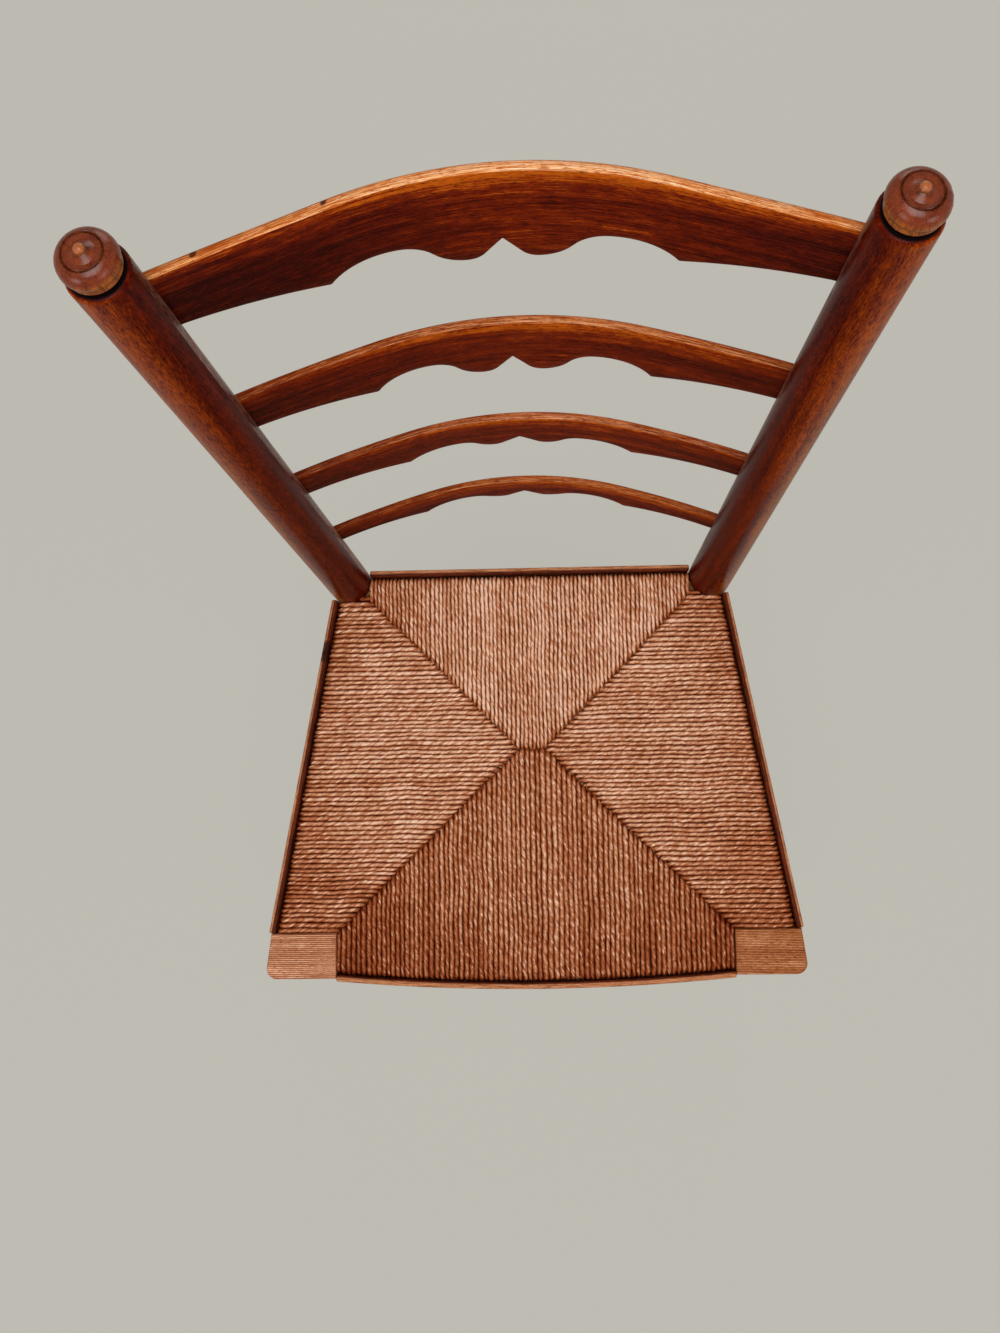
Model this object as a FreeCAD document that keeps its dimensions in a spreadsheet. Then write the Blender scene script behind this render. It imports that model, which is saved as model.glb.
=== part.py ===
import FreeCAD, Part
import math
import os

from FreeCAD import Placement, Rotation, Vector
from Sketcher import Constraint

# Ladderback chair with a rush seat. Millimetres. +Z is up and the chair faces -Y.
# The origin is on the floor under the middle of the chair.
# Heights marked "up the back" run along the raked back, from the seat upwards.

SIZES = {
    # overall
    "seat_height": 440,            # floor to the top of the corner blocks
    "front_width": 500,            # across both corner blocks
    "post_spacing": 346.6,           # between the back posts' axes, at the seat
    "post_setback": 373.5,         # blocks' front face to the posts' axes, at the seat
    "post_rake": 5,                # degrees that the back leans backwards
    "post_splay": 2.05,            # degrees that each post leans outwards
    "post_twist": 0.85,            # degrees that the right post leans further back than
                                   # the rake, and the left one less
    # back posts, turned in one piece with their finials
    "post_foot_radius": 13.5,
    "post_seat_radius": 20,
    "post_straight": 55,           # plain length below the seat, where the rails enter
    "post_collar": 20,             # plain length above the seat
    "post_top_radius": 17.2,
    "shoulder_height": 601,        # up the back
    "shoulder_round": 2.5,
    "neck_radius": 12.8,
    "drum_radius": 14.8,
    "neck_height": 3.5,            # groove between the shoulder and the drum
    "drum_height": 2.8,
    "drum_taper": 0.5,
    "cap_radius": 16.1,
    "cap_rise": 3.7,                 # top of the drum to the widest line of the cap
    "cap_crown": 7.6,             # widest line of the cap to its ring
    "ring_radius": 10.2,
    "ring_width": 1.4,
    "ring_depth": 0.9,
    "dish_depth": 0.5,
    "button_radius": 3.3,
    "button_foot": 2,            # ring to the button's foot
    "button_height": 3,
    # slats, bent boards let into the posts
    "slat_thickness": 6,
    "slat_setback": 8,             # middle of the board behind the posts' axes
    "slat_bow": 37.7,
    "slat_past_axis": 4,           # how far the ends pass the posts' axes
    "slat_shoulder": 16,           # square end, measured from the posts' axes
    "slat_lobe_radius": 12,
    "slat_lobe_turn": 1.15,        # how far round the lobes curl towards the notch
    "slat_edge_round": 1.8,
    # A slat's step is from the posts' shoulder, or from the slat above, to the top line
    # of its ends. The other heights on it are measured from that line.
    "slat_1_step": 30.7, "slat_1_end": 51.6, "slat_1_crest": 22.5,
    "slat_1_cusp": 60.6, "slat_1_arch": 40.3, "slat_1_lobe": 59.8, "slat_1_notch": 40.6,
    "slat_1_cusp_out": 97, "slat_1_arch_out": 57, "slat_1_lobe_out": 20,
    "slat_2_step": 156.9, "slat_2_end": 45.2, "slat_2_crest": 19.9,
    "slat_2_cusp": 50.9, "slat_2_arch": 28.4, "slat_2_lobe": 47.3, "slat_2_notch": 27.3,
    "slat_2_cusp_out": 92, "slat_2_arch_out": 53.5, "slat_2_lobe_out": 20,
    "slat_3_step": 149.1, "slat_3_end": 36.3, "slat_3_crest": 19.1,
    "slat_3_cusp": 38.2, "slat_3_arch": 20, "slat_3_lobe": 28.7, "slat_3_notch": 16,
    "slat_3_cusp_out": 86.5, "slat_3_arch_out": 44.5, "slat_3_lobe_out": 20.5,
    "slat_4_step": 136.7, "slat_4_end": 26.7, "slat_4_crest": 21.6,
    "slat_4_cusp": 25.2, "slat_4_arch": 7.4, "slat_4_lobe": 13, "slat_4_notch": 2.5,
    "slat_4_cusp_out": 86.3, "slat_4_arch_out": 45.5, "slat_4_lobe_out": 19.3,
    "peg_radius": 3,
    "peg_length": 15.5,
    "peg_inset": 3,                # pegs stand this far inside the posts' axes
    "peg_sunk": 0.4,
    # corner blocks at the front of the seat
    "block_width": 65,
    "block_depth": 41.3,
    "block_thickness": 30,
    "block_taper": 4.2,            # narrower at the back, to follow the side
    "block_corner": 10,
    "block_edge_round": 1.6,
    # front legs
    "leg_inset_x": 26,
    "leg_inset_y": 19,
    "leg_radius": 17,
    "leg_sole_radius": 10.5,
    "leg_foot_radius": 14.5,
    "leg_foot_height": 9,
    "leg_ankle_radius": 10.5,
    "leg_ankle_height": 24,
    "leg_swell_height": 150,
    "leg_tenon_radius": 9,
    "leg_tenon_length": 20,
    # seat rails, hidden in the rush
    "rail_width": 18,
    "rail_height": 20,
    "rail_tenon_width": 10,
    "rail_tenon_height": 9,
    "rail_tenon_apart": 10,        # front and back tenons above the side ones
    "front_tenon_length": 16,
    "back_tenon_length": 14,
    "side_tenon_front": 11.5,
    "side_tenon_back": 12,
    # thin strips nailed round the seat
    "strip_thickness": 6,
    "strip_height": 28,
    "strip_drop": 0.3,             # top edge below the blocks' top
    "front_strip_bow": 8.7,
    "front_strip_proud": 2.4,      # stands forward of the blocks at its ends
    "side_strip_proud": 2.4,       # stands outside the blocks' back corners
    "side_strip_past_post": 12.9,  # outer face outside the posts' axes
    "side_strip_stop": 14,         # ends this far in front of the posts' axes
    "back_strip_past_post": 9.9,   # outer face behind the posts' axes
    "pin_radius": 0.9,
    "pin_length": 17,
    "pin_margin": 34,              # outer pins from a strip's ends
    "front_pins": 5,
    "side_pins": 5,
    "back_pins": 4,
    # rush
    "rush_drop": 1,                # rush at its edge, below the blocks' top
    "rush_over": 5,                # cords over the rails
    "rush_edge_round": 8,
    "seat_dip": 5,                 # middle of the seat below its edge
    "seam_back": 211,              # blocks' front face to the middle seam
    "seam_half": 12,
    "stuffing_inset": 6,           # from the rails to the stuffing
    "stuffing_cover": 5,           # rush above and below the stuffing
    # stretchers
    "stretcher_radius": 11.5,
    "stretcher_tenon_radius": 7.5,
    "stretcher_tenon_length": 18,
    "stretcher_stop": 3,           # ends short of the legs' axes
    "front_stretcher_upper": 300,
    "front_stretcher_lower": 165,
    "side_stretcher_upper": 250,
    "side_stretcher_lower": 118,
    "back_stretcher_height": 190,
    # clearances
    "joint_gap": 0.15,             # tenons, pegs and pins in their holes
    "seat_gap": 0.3,               # between neighbours that only touch
}

doc = FreeCAD.newDocument("ladderback_chair")
sheet = doc.addObject("Spreadsheet::Sheet", "Sizes")
worked_sheet = doc.addObject("Spreadsheet::Sheet", "Worked")
PARTS = []


def add_cell(target, alias, value):
    """Writes one plain number into a sheet, under its alias."""
    row = len(target.getUsedCells()) // 2 + 1
    target.set(f"A{row}", alias)
    target.set(f"B{row}", repr(float(value)))
    target.setAlias(f"B{row}", alias)


for alias, value in SIZES.items():
    add_cell(sheet, alias, value)
doc.recompute()


def size(alias):
    return float(sheet.get(alias))


def worked(alias, value):
    """Keeps a length that follows from the sizes, and returns its name for expressions."""
    add_cell(worked_sheet, alias, value)
    worked_sheet.recompute()
    return f"Worked.{alias}"


def bind(obj, prop, expression):
    obj.setExpression(prop, str(expression))


def keep(label, obj):
    """Names a finished piece."""
    obj.Label = label
    PARTS.append(obj)
    return obj


# Places that several pieces share

RAKE = math.radians(size("post_rake"))
SPLAY = math.radians(size("post_splay"))
TWIST = math.radians(size("post_twist"))


def half_spacing(up_back):
    """Half of the distance between the posts' axes, at a height up the back."""
    return size("post_spacing") / 2 + math.tan(SPLAY) * up_back


def slat_top(number):
    """Height up the back of the top line of a slat's ends."""
    steps = [size(f"slat_{i}_step") for i in range(1, number + 1)]
    return size("shoulder_height") - sum(steps)


def slat_middle(number):
    """Height up the back of the middle of a slat's ends."""
    return slat_top(number) - size(f"slat_{number}_end") / 2


def slat_turn(number):
    """Angle that a slat is turned in plan, because one post stands behind the other."""
    up_back = slat_middle(number)
    return math.atan(math.tan(TWIST) * up_back / half_spacing(up_back))


def slat_curve(number):
    """Half width between the posts, the board's bend radius and its centre behind the posts."""
    half = half_spacing(slat_middle(number)) / math.cos(slat_turn(number))
    bow = size("slat_bow")
    radius = (half * half + bow * bow) / (2 * bow)
    return half, radius, size("slat_setback") + bow - radius


top_half, top_radius, top_centre = slat_curve(1)
slat_reach_back = top_centre * math.cos(slat_turn(1)) + top_radius + size("slat_thickness") / 2
slat_crest_up = slat_top(1) + size("slat_1_crest")
back_most = (
    size("post_setback")
    + slat_reach_back * math.cos(RAKE)
    + slat_crest_up * math.sin(RAKE)
)
front_most = -size("front_strip_proud") - size("front_strip_bow")
FRONT_Y = -(front_most + back_most) / 2
SEAT_Z = size("seat_height")
GAP = size("joint_gap")

back_frame = Placement(
    Vector(0, FRONT_Y + size("post_setback"), SEAT_Z),
    Rotation(Vector(1, 0, 0), -size("post_rake")),
)
seat_frame = Placement(Vector(0, FRONT_Y, SEAT_Z), Rotation())


def post_frame(side):
    """Frame on a post's axis at the seat, with Z up the post. side is 1 on +X."""
    step = Vector(side * size("post_spacing") / 2, 0, 0)
    splay = Rotation(Vector(0, 1, 0), side * size("post_splay"))
    twist = Rotation(Vector(1, 0, 0), -side * size("post_twist"))
    return back_frame * Placement(step, twist * splay)


def slat_frame(number, drop=0):
    """Frame across the posts, a drop below the top line of a slat's ends."""
    turn = Rotation(Vector(0, 0, 1), math.degrees(slat_turn(number)))
    return back_frame * Placement(Vector(0, 0, slat_top(number) - drop), turn)


def post_point(side, height):
    """Point on a post's axis at a height above the floor."""
    frame = post_frame(side)
    axis = frame.Rotation.multVec(Vector(0, 0, 1))
    return frame.Base + axis * ((height - SEAT_Z) / axis.z)


def leg_point(side, height):
    """Point on a front leg's axis at a height above the floor."""
    x = side * (size("front_width") / 2 - size("leg_inset_x"))
    return Vector(x, FRONT_Y + size("leg_inset_y"), height)


# Sketch helpers


def new_body(name, frame=None):
    body = doc.addObject("PartDesign::Body", name)
    if frame is not None:
        body.Placement = frame
    return body


def new_sketch(body, plane):
    sketch = body.newObject("Sketcher::SketchObject", f"{body.Name}_sketch")
    for feature in body.Origin.OriginFeatures:
        if feature.Role == plane:
            sketch.AttachmentSupport = [(feature, "")]
    sketch.MapMode = "FlatFace"
    return sketch


def value_of(expression):
    return float(sheet.evalExpression(expression))


def fix_point(sketch, geo, end, x, y):
    """Ties a point of a sketch to its two expressions. "0" puts it on the axis."""
    for kind, axis, expression in (("DistanceX", -2, x), ("DistanceY", -1, y)):
        if expression is None:
            continue
        if expression == "0":
            sketch.addConstraint(Constraint("PointOnObject", geo, end, axis))
            continue
        constraint = Constraint(kind, -1, 1, geo, end, value_of(expression))
        index = sketch.addConstraint(constraint)
        bind(sketch, f"Constraints[{index}]", expression)


def arc_centre(kind, here, there):
    """Centre of the arc through two points that is level or upright at the first."""
    dx, dy = there[0] - here[0], there[1] - here[1]
    chord = dx * dx + dy * dy
    if kind == "flat":
        return here[0], here[1] + chord / (2 * dy)
    return here[0] + chord / (2 * dx), here[1]


def add_arc(sketch, start, end, centre):
    """Adds the shorter arc from start to end. Returns its number and which end is the start."""
    radius = math.dist(start, centre)
    a0 = math.atan2(start[1] - centre[1], start[0] - centre[0])
    a1 = math.atan2(end[1] - centre[1], end[0] - centre[0])
    forward = (a1 - a0) % (2 * math.pi) < math.pi
    circle = Part.Circle(Vector(*centre, 0), Vector(0, 0, 1), radius)
    span = (a0, a1) if forward else (a1, a0)
    geo = sketch.addGeometry(Part.ArcOfCircle(circle, *span), False)
    return (geo, 1, 2) if forward else (geo, 2, 1)


def draw_outline(sketch, steps):
    """Draws a closed outline. Each step is a point (x, y) and the line that leads on from it:
    "line", or an arc that is flat or upright here, or at the next point ("flat next")."""
    spots = [(value_of(x), value_of(y)) for x, y, _ in steps]
    edges = []
    for i, (_, _, kind) in enumerate(steps):
        here, there = spots[i], spots[(i + 1) % len(steps)]
        if kind == "line":
            segment = Part.LineSegment(Vector(*here, 0), Vector(*there, 0))
            edges.append((sketch.addGeometry(segment, False), 1, 2))
            continue
        at_next = kind.endswith("next")
        shape = kind.split()[0]
        pair = (there, here) if at_next else (here, there)
        edge = add_arc(sketch, here, there, arc_centre(shape, *pair))
        edges.append(edge)
        tied = edge[2] if at_next else edge[1]
        rule = "Vertical" if shape == "flat" else "Horizontal"
        sketch.addConstraint(Constraint(rule, edge[0], 3, edge[0], tied))
    for i, (geo, start, _) in enumerate(edges):
        before = edges[i - 1]
        sketch.addConstraint(Constraint("Coincident", before[0], before[2], geo, start))
    for (x, y, _), (geo, start, _) in zip(steps, edges):
        fix_point(sketch, geo, start, x, y)


MIRRORED = {"line": "line", "flat": "flat next", "flat next": "flat"}


def mirrored_outline(steps):
    """Completes an outline whose first and last points lie on the middle line."""
    full = list(steps[:-1])
    for (x, y, _), (_, _, kind) in zip(reversed(steps[1:]), reversed(steps[:-1])):
        full.append((x if x == "0" else f"-({x})", y, MIRRORED[kind]))
    return full


def pad(body, sketch, length, middle=False):
    feature = body.newObject("PartDesign::Pad", f"{body.Name}_pad")
    feature.Profile = sketch
    feature.Midplane = middle
    bind(feature, "Length", length)
    return feature


def revolve(body, sketch):
    feature = body.newObject("PartDesign::Revolution", f"{body.Name}_turning")
    feature.Profile = sketch
    feature.ReferenceAxis = (sketch, ["V_Axis"])
    feature.Angle = 360
    return feature


def turned(name, steps, frame=None):
    """Body turned about its own Z axis. Its outline is given as radius and height."""
    body = new_body(name, frame)
    sketch = new_sketch(body, "XZ_Plane")
    draw_outline(sketch, steps)
    revolve(body, sketch)
    return body


def plate(name, steps, thickness, frame=None, plane="XY_Plane", middle=False):
    """Body of even thickness over an outline."""
    body = new_body(name, frame)
    sketch = new_sketch(body, plane)
    draw_outline(sketch, steps)
    pad(body, sketch, thickness, middle)
    return body


def bent_bar(name, radius, thickness, half_length, centre_y, height, frame, side=1):
    """Bar of even height, bent in plan round a centre on the middle line.
    side is 1 when it bows towards +Y, and -1 towards -Y."""
    body = new_body(name, frame)
    sketch = new_sketch(body, "XY_Plane")
    centre = (0, value_of(centre_y))
    reach = value_of(half_length)
    arcs = []
    for half_step in (0.5, -0.5):
        edge = f"{radius} + {half_step} * ({thickness})"
        r = value_of(edge)
        y = centre[1] + side * math.sqrt(r * r - reach * reach)
        arc = add_arc(sketch, (reach, y), (-reach, y), centre)
        arcs.append((arc, y))
        index = sketch.addConstraint(Constraint("Radius", arc[0], r))
        bind(sketch, f"Constraints[{index}]", edge)
    (outer, outer_y), (inner, inner_y) = arcs
    sketch.addConstraint(Constraint("Coincident", outer[0], 3, inner[0], 3))
    fix_point(sketch, outer[0], 3, "0", centre_y)
    for end, sign in ((1, 1), (2, -1)):
        x = sign * reach
        line = Part.LineSegment(Vector(x, outer_y, 0), Vector(x, inner_y, 0))
        geo = sketch.addGeometry(line, False)
        sketch.addConstraint(Constraint("Coincident", geo, 1, outer[0], outer[end]))
        sketch.addConstraint(Constraint("Coincident", geo, 2, inner[0], inner[end]))
        sketch.addConstraint(Constraint("Vertical", geo))
        fix_point(sketch, geo, 1, f"{sign} * ({half_length})", None)
    pad(body, sketch, height)
    return body


def rod(name, start, end, radius):
    """Plain cylinder from one point to another."""
    span = end - start
    cylinder = doc.addObject("Part::Cylinder", name)
    bind(cylinder, "Radius", radius)
    bind(cylinder, "Height", worked(f"{name}_length", span.Length))
    cylinder.Placement = Placement(start, Rotation(Vector(0, 0, 1), span))
    return cylinder


def join(name, pieces):
    joined = doc.addObject("Part::MultiFuse", name)
    joined.Shapes = pieces
    return joined


def cut(name, base, tools):
    """Cuts every tool from a piece."""
    result = doc.addObject("Part::Cut", name)
    result.Base = base
    result.Tool = tools[0] if len(tools) == 1 else join(f"{name}_tools", tools)
    return result


def shifted(frame, x=0, y=0, z=0):
    return frame * Placement(Vector(x, y, z), Rotation())


def plan_plate(name, points, thickness, frame):
    """Plate over an outline that is worked out in plan, in plain lengths."""
    steps = []
    for i, (x, y, kind) in enumerate(points):
        across = "0" if x == 0 else worked(f"{name}_x{i}", x)
        steps.append((across, worked(f"{name}_y{i}", y), kind))
    return plate(name, steps, worked(f"{name}_thick", thickness), frame)


def box(name, low, high):
    """Box between two corners."""
    solid = doc.addObject("Part::Box", name)
    span = high - low
    for prop, length in (("Length", span.x), ("Width", span.y), ("Height", span.z)):
        bind(solid, prop, worked(f"{name}_{prop.lower()}", length))
    solid.Placement = Placement(low, Rotation())
    return solid


# Slats: bent boards, cut to their shaped outline


def slat_outline(number):
    """Half outline of a slat, from the notch under its middle round to its crest."""
    slat = f"Sizes.slat_{number}"
    name = f"slat_{number}"
    half, _, _ = slat_curve(number)
    reach = worked(f"{name}_reach", half + size("slat_past_axis"))
    square = worked(f"{name}_square", half - size("slat_shoulder"))
    rise = size(f"{name}_lobe") - size(f"{name}_notch")
    curl = size("slat_lobe_radius")
    turn = size("slat_lobe_turn") * math.atan(rise / size(f"{name}_lobe_out"))
    lobe_in = worked(f"{name}_lobe_in", size(f"{name}_lobe_out") - curl * math.sin(turn))
    lobe_up = worked(f"{name}_lobe_up", size(f"{name}_lobe") - curl * (1 - math.cos(turn)))
    return [
        ("0", f"-{slat}_notch", "line"),
        (lobe_in, f"-{lobe_up}", "flat next"),
        (f"{slat}_lobe_out", f"-{slat}_lobe", "flat"),
        (f"({slat}_lobe_out + {slat}_arch_out) / 2", f"-({slat}_arch + {slat}_lobe) / 2", "flat next"),
        (f"{slat}_arch_out", f"-{slat}_arch", "flat"),
        (f"{slat}_cusp_out", f"-{slat}_cusp", "line"),
        (square, f"-{slat}_end", "line"),
        (reach, f"-{slat}_end", "line"),
        (reach, "0", "line"),
        (square, "0", "flat"),
        (f"{square} / 2", f"{slat}_crest / 2", "flat next"),
        ("0", f"{slat}_crest", "line"),
    ]


def slat_board(number, tool=False):
    """The bent board of a slat, or the mortise that takes its ends."""
    name = f"slat_{number}_mortise" if tool else f"slat_{number}_board"
    room = GAP if tool else 0
    half, radius, centre_y = slat_curve(number)
    drop = size(f"slat_{number}_end") + room
    above = room
    if not tool:
        drop = max(size(f"slat_{number}_cusp"), size(f"slat_{number}_lobe")) + 1
        above = size(f"slat_{number}_crest") + 1
    return bent_bar(
        name,
        worked(f"{name}_radius", radius),
        worked(f"{name}_thickness", size("slat_thickness") + 2 * room),
        worked(f"{name}_half", half + size("slat_past_axis") + room),
        worked(f"{name}_centre", centre_y),
        worked(f"{name}_height", drop + above),
        slat_frame(number, drop),
    )


def shaped_slat(number):
    outline = plate(
        f"slat_{number}_outline",
        mirrored_outline(slat_outline(number)),
        worked(f"slat_{number}_depth", 4 * slat_reach_back),
        slat_frame(number),
        "XZ_Plane",
        middle=True,
    )
    shaped = doc.addObject("Part::Common", f"slat_{number}_shaped")
    shaped.Base = slat_board(number)
    shaped.Tool = outline
    return shaped


shaped_slats = {number: shaped_slat(number) for number in (1, 2, 3, 4)}
mortises = [slat_board(number, tool=True) for number in shaped_slats]
doc.recompute()

# Places and shapes of the seat, in plan. X across, Y behind the blocks' front face

TOP_Z = -size("rush_drop")
RAIL_TOP = TOP_Z - size("rush_over")
RAIL_BOTTOM = RAIL_TOP - size("rail_height")
RUSH_BOTTOM = RAIL_BOTTOM - size("rush_over")
TOUCH = size("seat_gap")
BLOCK_IN = size("front_width") / 2 - size("block_width")
BLOCK_BACK = size("block_depth")
STRIP_IN = size("strip_thickness")
RUSH_OUT = STRIP_IN + TOUCH
RAIL_OUT = RUSH_OUT + size("rush_over")
RAIL_MID = RAIL_OUT + size("rail_width") / 2
RAIL_IN = RAIL_OUT + size("rail_width")

front_bow = size("front_strip_bow")
front_radius = (BLOCK_IN**2 + front_bow**2) / (2 * front_bow)
front_apex = -size("front_strip_proud") - front_bow
front_centre = front_apex + front_radius

side_start_x = size("front_width") / 2 - size("block_taper") + size("side_strip_proud")
side_end_x = size("post_spacing") / 2 + size("side_strip_past_post")
side_run = size("post_setback") - BLOCK_BACK
side_slope = (side_end_x - side_start_x) / side_run
side_stretch = math.hypot(1, side_slope)

back_face = size("post_setback") + size("back_strip_past_post")


def front_line(inset, x):
    """Y of the seat's bowed front, this far in from the strip's outer face."""
    return front_centre - math.sqrt((front_radius - inset) ** 2 - x * x)


def side_line(inset, y):
    """X of the seat's side, this far in from the strip's outer face."""
    return side_start_x + side_slope * (y - BLOCK_BACK) - inset * side_stretch


def side_quad(side, outer, inner, near, far):
    """Four corners between two insets of a side and two distances from the front."""
    spots = [(outer, near), (outer, far), (inner, far), (inner, near)]
    return [(side * side_line(inset, y), y, "line") for inset, y in spots]


def seat_level(z):
    return shifted(seat_frame, z=z)


def seat_box(name, low, high):
    return box(name, seat_frame.multVec(Vector(*low)), seat_frame.multVec(Vector(*high)))


def front_bar(name, inset, thickness, half, low, high):
    """Bar along the bowed front, with its outer face this far in from the strip's."""
    return bent_bar(
        name,
        worked(f"{name}_radius", front_radius - inset - thickness / 2),
        worked(f"{name}_thickness", thickness),
        worked(f"{name}_half", half),
        worked(f"{name}_centre", front_centre),
        worked(f"{name}_height", high - low),
        seat_level(low),
        side=-1,
    )


# Rails with their tenons. The same shapes, grown, make the sockets and the rush's tunnels

TENON_INSET = RAIL_MID - size("rail_tenon_width") / 2
UPPER_TENON = RAIL_TOP - (size("rail_height") - size("rail_tenon_apart")) / 2
LOWER_TENON = UPPER_TENON - size("rail_tenon_apart")
post_front = (
    size("post_setback")
    + math.tan(RAKE) * RAIL_BOTTOM
    - size("post_seat_radius")
)
SIDE_RAIL_END = post_front - 2 * TOUCH
BACK_RAIL_HALF = half_spacing(RAIL_BOTTOM) - size("post_seat_radius") - TOUCH


def tenon_span(middle, grow):
    half = size("rail_tenon_height") / 2 + grow
    return middle - half, middle + half


def front_rail(name, grow=0):
    half = BLOCK_IN - TOUCH + grow
    body = front_bar(
        f"{name}_bar", RAIL_OUT - grow, size("rail_width") + 2 * grow, half,
        RAIL_BOTTOM - grow, RAIL_TOP + grow,
    )
    tenons = front_bar(
        f"{name}_tenons", TENON_INSET - grow, size("rail_tenon_width") + 2 * grow,
        BLOCK_IN + size("front_tenon_length") + grow, *tenon_span(UPPER_TENON, grow),
    )
    return join(name, [body, tenons])


def back_rail(name, grow=0):
    middle = back_face - RAIL_MID
    reach = size("rail_width") / 2 + grow
    body = seat_box(
        f"{name}_bar",
        (-BACK_RAIL_HALF - grow, middle - reach, RAIL_BOTTOM - grow),
        (BACK_RAIL_HALF + grow, middle + reach, RAIL_TOP + grow),
    )
    reach = size("rail_tenon_width") / 2 + grow
    half = BACK_RAIL_HALF + size("back_tenon_length") + grow
    low, high = tenon_span(UPPER_TENON, grow)
    tenons = seat_box(
        f"{name}_tenons", (-half, middle - reach, low), (half, middle + reach, high)
    )
    return join(name, [body, tenons])


def side_rail(name, side, grow=0):
    near, far = BLOCK_BACK + TOUCH - grow, SIDE_RAIL_END + grow
    body = plan_plate(
        f"{name}_bar",
        side_quad(side, RAIL_OUT - grow, RAIL_IN + grow, near, far),
        size("rail_height") + 2 * grow,
        seat_level(RAIL_BOTTOM - grow),
    )
    low, high = tenon_span(LOWER_TENON, grow)
    outer = TENON_INSET - grow
    inner = TENON_INSET + size("rail_tenon_width") + grow
    tenons = plan_plate(
        f"{name}_tenons",
        side_quad(
            side, outer, inner,
            BLOCK_BACK - size("side_tenon_front") - grow,
            SIDE_RAIL_END + size("side_tenon_back") + grow,
        ),
        high - low,
        seat_level(low),
    )
    return join(name, [body, tenons])


SIDES = {"left": -1, "right": 1}
front_rail_solid = front_rail("front_rail_solid")
back_rail_solid = back_rail("back_rail_solid")
side_rail_solids = {name: side_rail(f"{name}_rail_solid", side) for name, side in SIDES.items()}
front_rail_room = front_rail("front_rail_room", GAP)
back_rail_room = back_rail("back_rail_room", GAP)
side_rail_rooms = {name: side_rail(f"{name}_rail_room", side, GAP) for name, side in SIDES.items()}

# Pins through the strips into the rails

PIN_Z = -size("strip_drop") - size("strip_height") / 2


def spread(first, last, count):
    step = (last - first) / max(count - 1, 1)
    return [first + step * i for i in range(count)]


def pin_lines():
    """Start and inward direction of every pin, in plan."""
    margin = size("pin_margin")
    half = BLOCK_IN - margin
    for x in spread(-half, half, round(size("front_pins"))):
        y = front_line(0, x)
        yield Vector(x, y, 0), Vector(-x, front_centre - y, 0)
    half = half_spacing(0) - size("post_seat_radius") - margin
    for x in spread(-half, half, round(size("back_pins"))):
        yield Vector(x, back_face, 0), Vector(0, -1, 0)
    for side in SIDES.values():
        for y in spread(BLOCK_BACK + margin, SIDE_RAIL_END - margin, round(size("side_pins"))):
            start = Vector(side * side_line(0, y), y, 0)
            yield start, Vector(-side, side_slope, 0)


def pin_rods(name, radius, extra):
    """All pins, or the holes that take them."""
    rods = []
    for i, (start, inward) in enumerate(pin_lines(), 1):
        inward.normalize()
        low = seat_frame.multVec(start + Vector(0, 0, PIN_Z) - inward * extra)
        high = low + inward * (size("pin_length") + 2 * extra)
        rods.append(rod(f"{name}_{i}", low, high, radius))
    group = doc.addObject("Part::Compound", name)
    group.Links = rods
    return group


keep("strip_pins", pin_rods("pins", "Sizes.pin_radius", 0))
pin_holes = pin_rods("pin_holes", "Sizes.pin_radius + Sizes.joint_gap", GAP)

keep("front_seat_rail", cut("front_seat_rail", front_rail_solid, [pin_holes]))
keep("back_seat_rail", cut("back_seat_rail", back_rail_solid, [pin_holes]))
for name, solid in side_rail_solids.items():
    keep(f"{name}_seat_rail", cut(f"{name}_seat_rail", solid, [pin_holes]))

# Stretchers: spindles between the legs and posts


def stretcher(name, start, end):
    """A spindle between two axes and the sockets for its ends. It stops short of both axes."""
    along = end - start
    along.normalize()
    start = start + along * size("stretcher_stop")
    end = end - along * size("stretcher_stop")
    length = worked(f"{name}_length", (end - start).Length)
    tenon = "Sizes.stretcher_tenon_length"
    steps = [
        ("0", "0", "line"),
        ("Sizes.stretcher_tenon_radius", "0", "line"),
        ("Sizes.stretcher_tenon_radius", tenon, "upright next"),
        ("Sizes.stretcher_radius", f"{length} / 2", "upright"),
        ("Sizes.stretcher_tenon_radius", f"{length} - {tenon}", "line"),
        ("Sizes.stretcher_tenon_radius", length, "line"),
        ("0", length, "line"),
    ]
    body = turned(f"{name}_spindle", steps, Placement(start, Rotation(Vector(0, 0, 1), along)))
    socket = rod(
        f"{name}_sockets", start - along * GAP, end + along * GAP,
        "Sizes.stretcher_tenon_radius + Sizes.joint_gap",
    )
    keep(name, body)
    return socket


front_sockets = [
    stretcher(f"front_stretcher_{level}", leg_point(-1, height), leg_point(1, height))
    for level, height in (
        ("upper", size("front_stretcher_upper")), ("lower", size("front_stretcher_lower"))
    )
]
height = size("back_stretcher_height")
back_socket = stretcher("back_stretcher", post_point(-1, height), post_point(1, height))
side_sockets = {
    name: [
        stretcher(
            f"{name}_side_stretcher_{level}",
            leg_point(side, size(f"side_stretcher_{level}")),
            post_point(side, size(f"side_stretcher_{level}")),
        )
        for level in ("upper", "lower")
    ]
    for name, side in SIDES.items()
}

# Back posts

post_below = worked(
    "post_below", SEAT_Z / (math.cos(RAKE) * math.cos(SPLAY)) + size("post_foot_radius")
)


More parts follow.
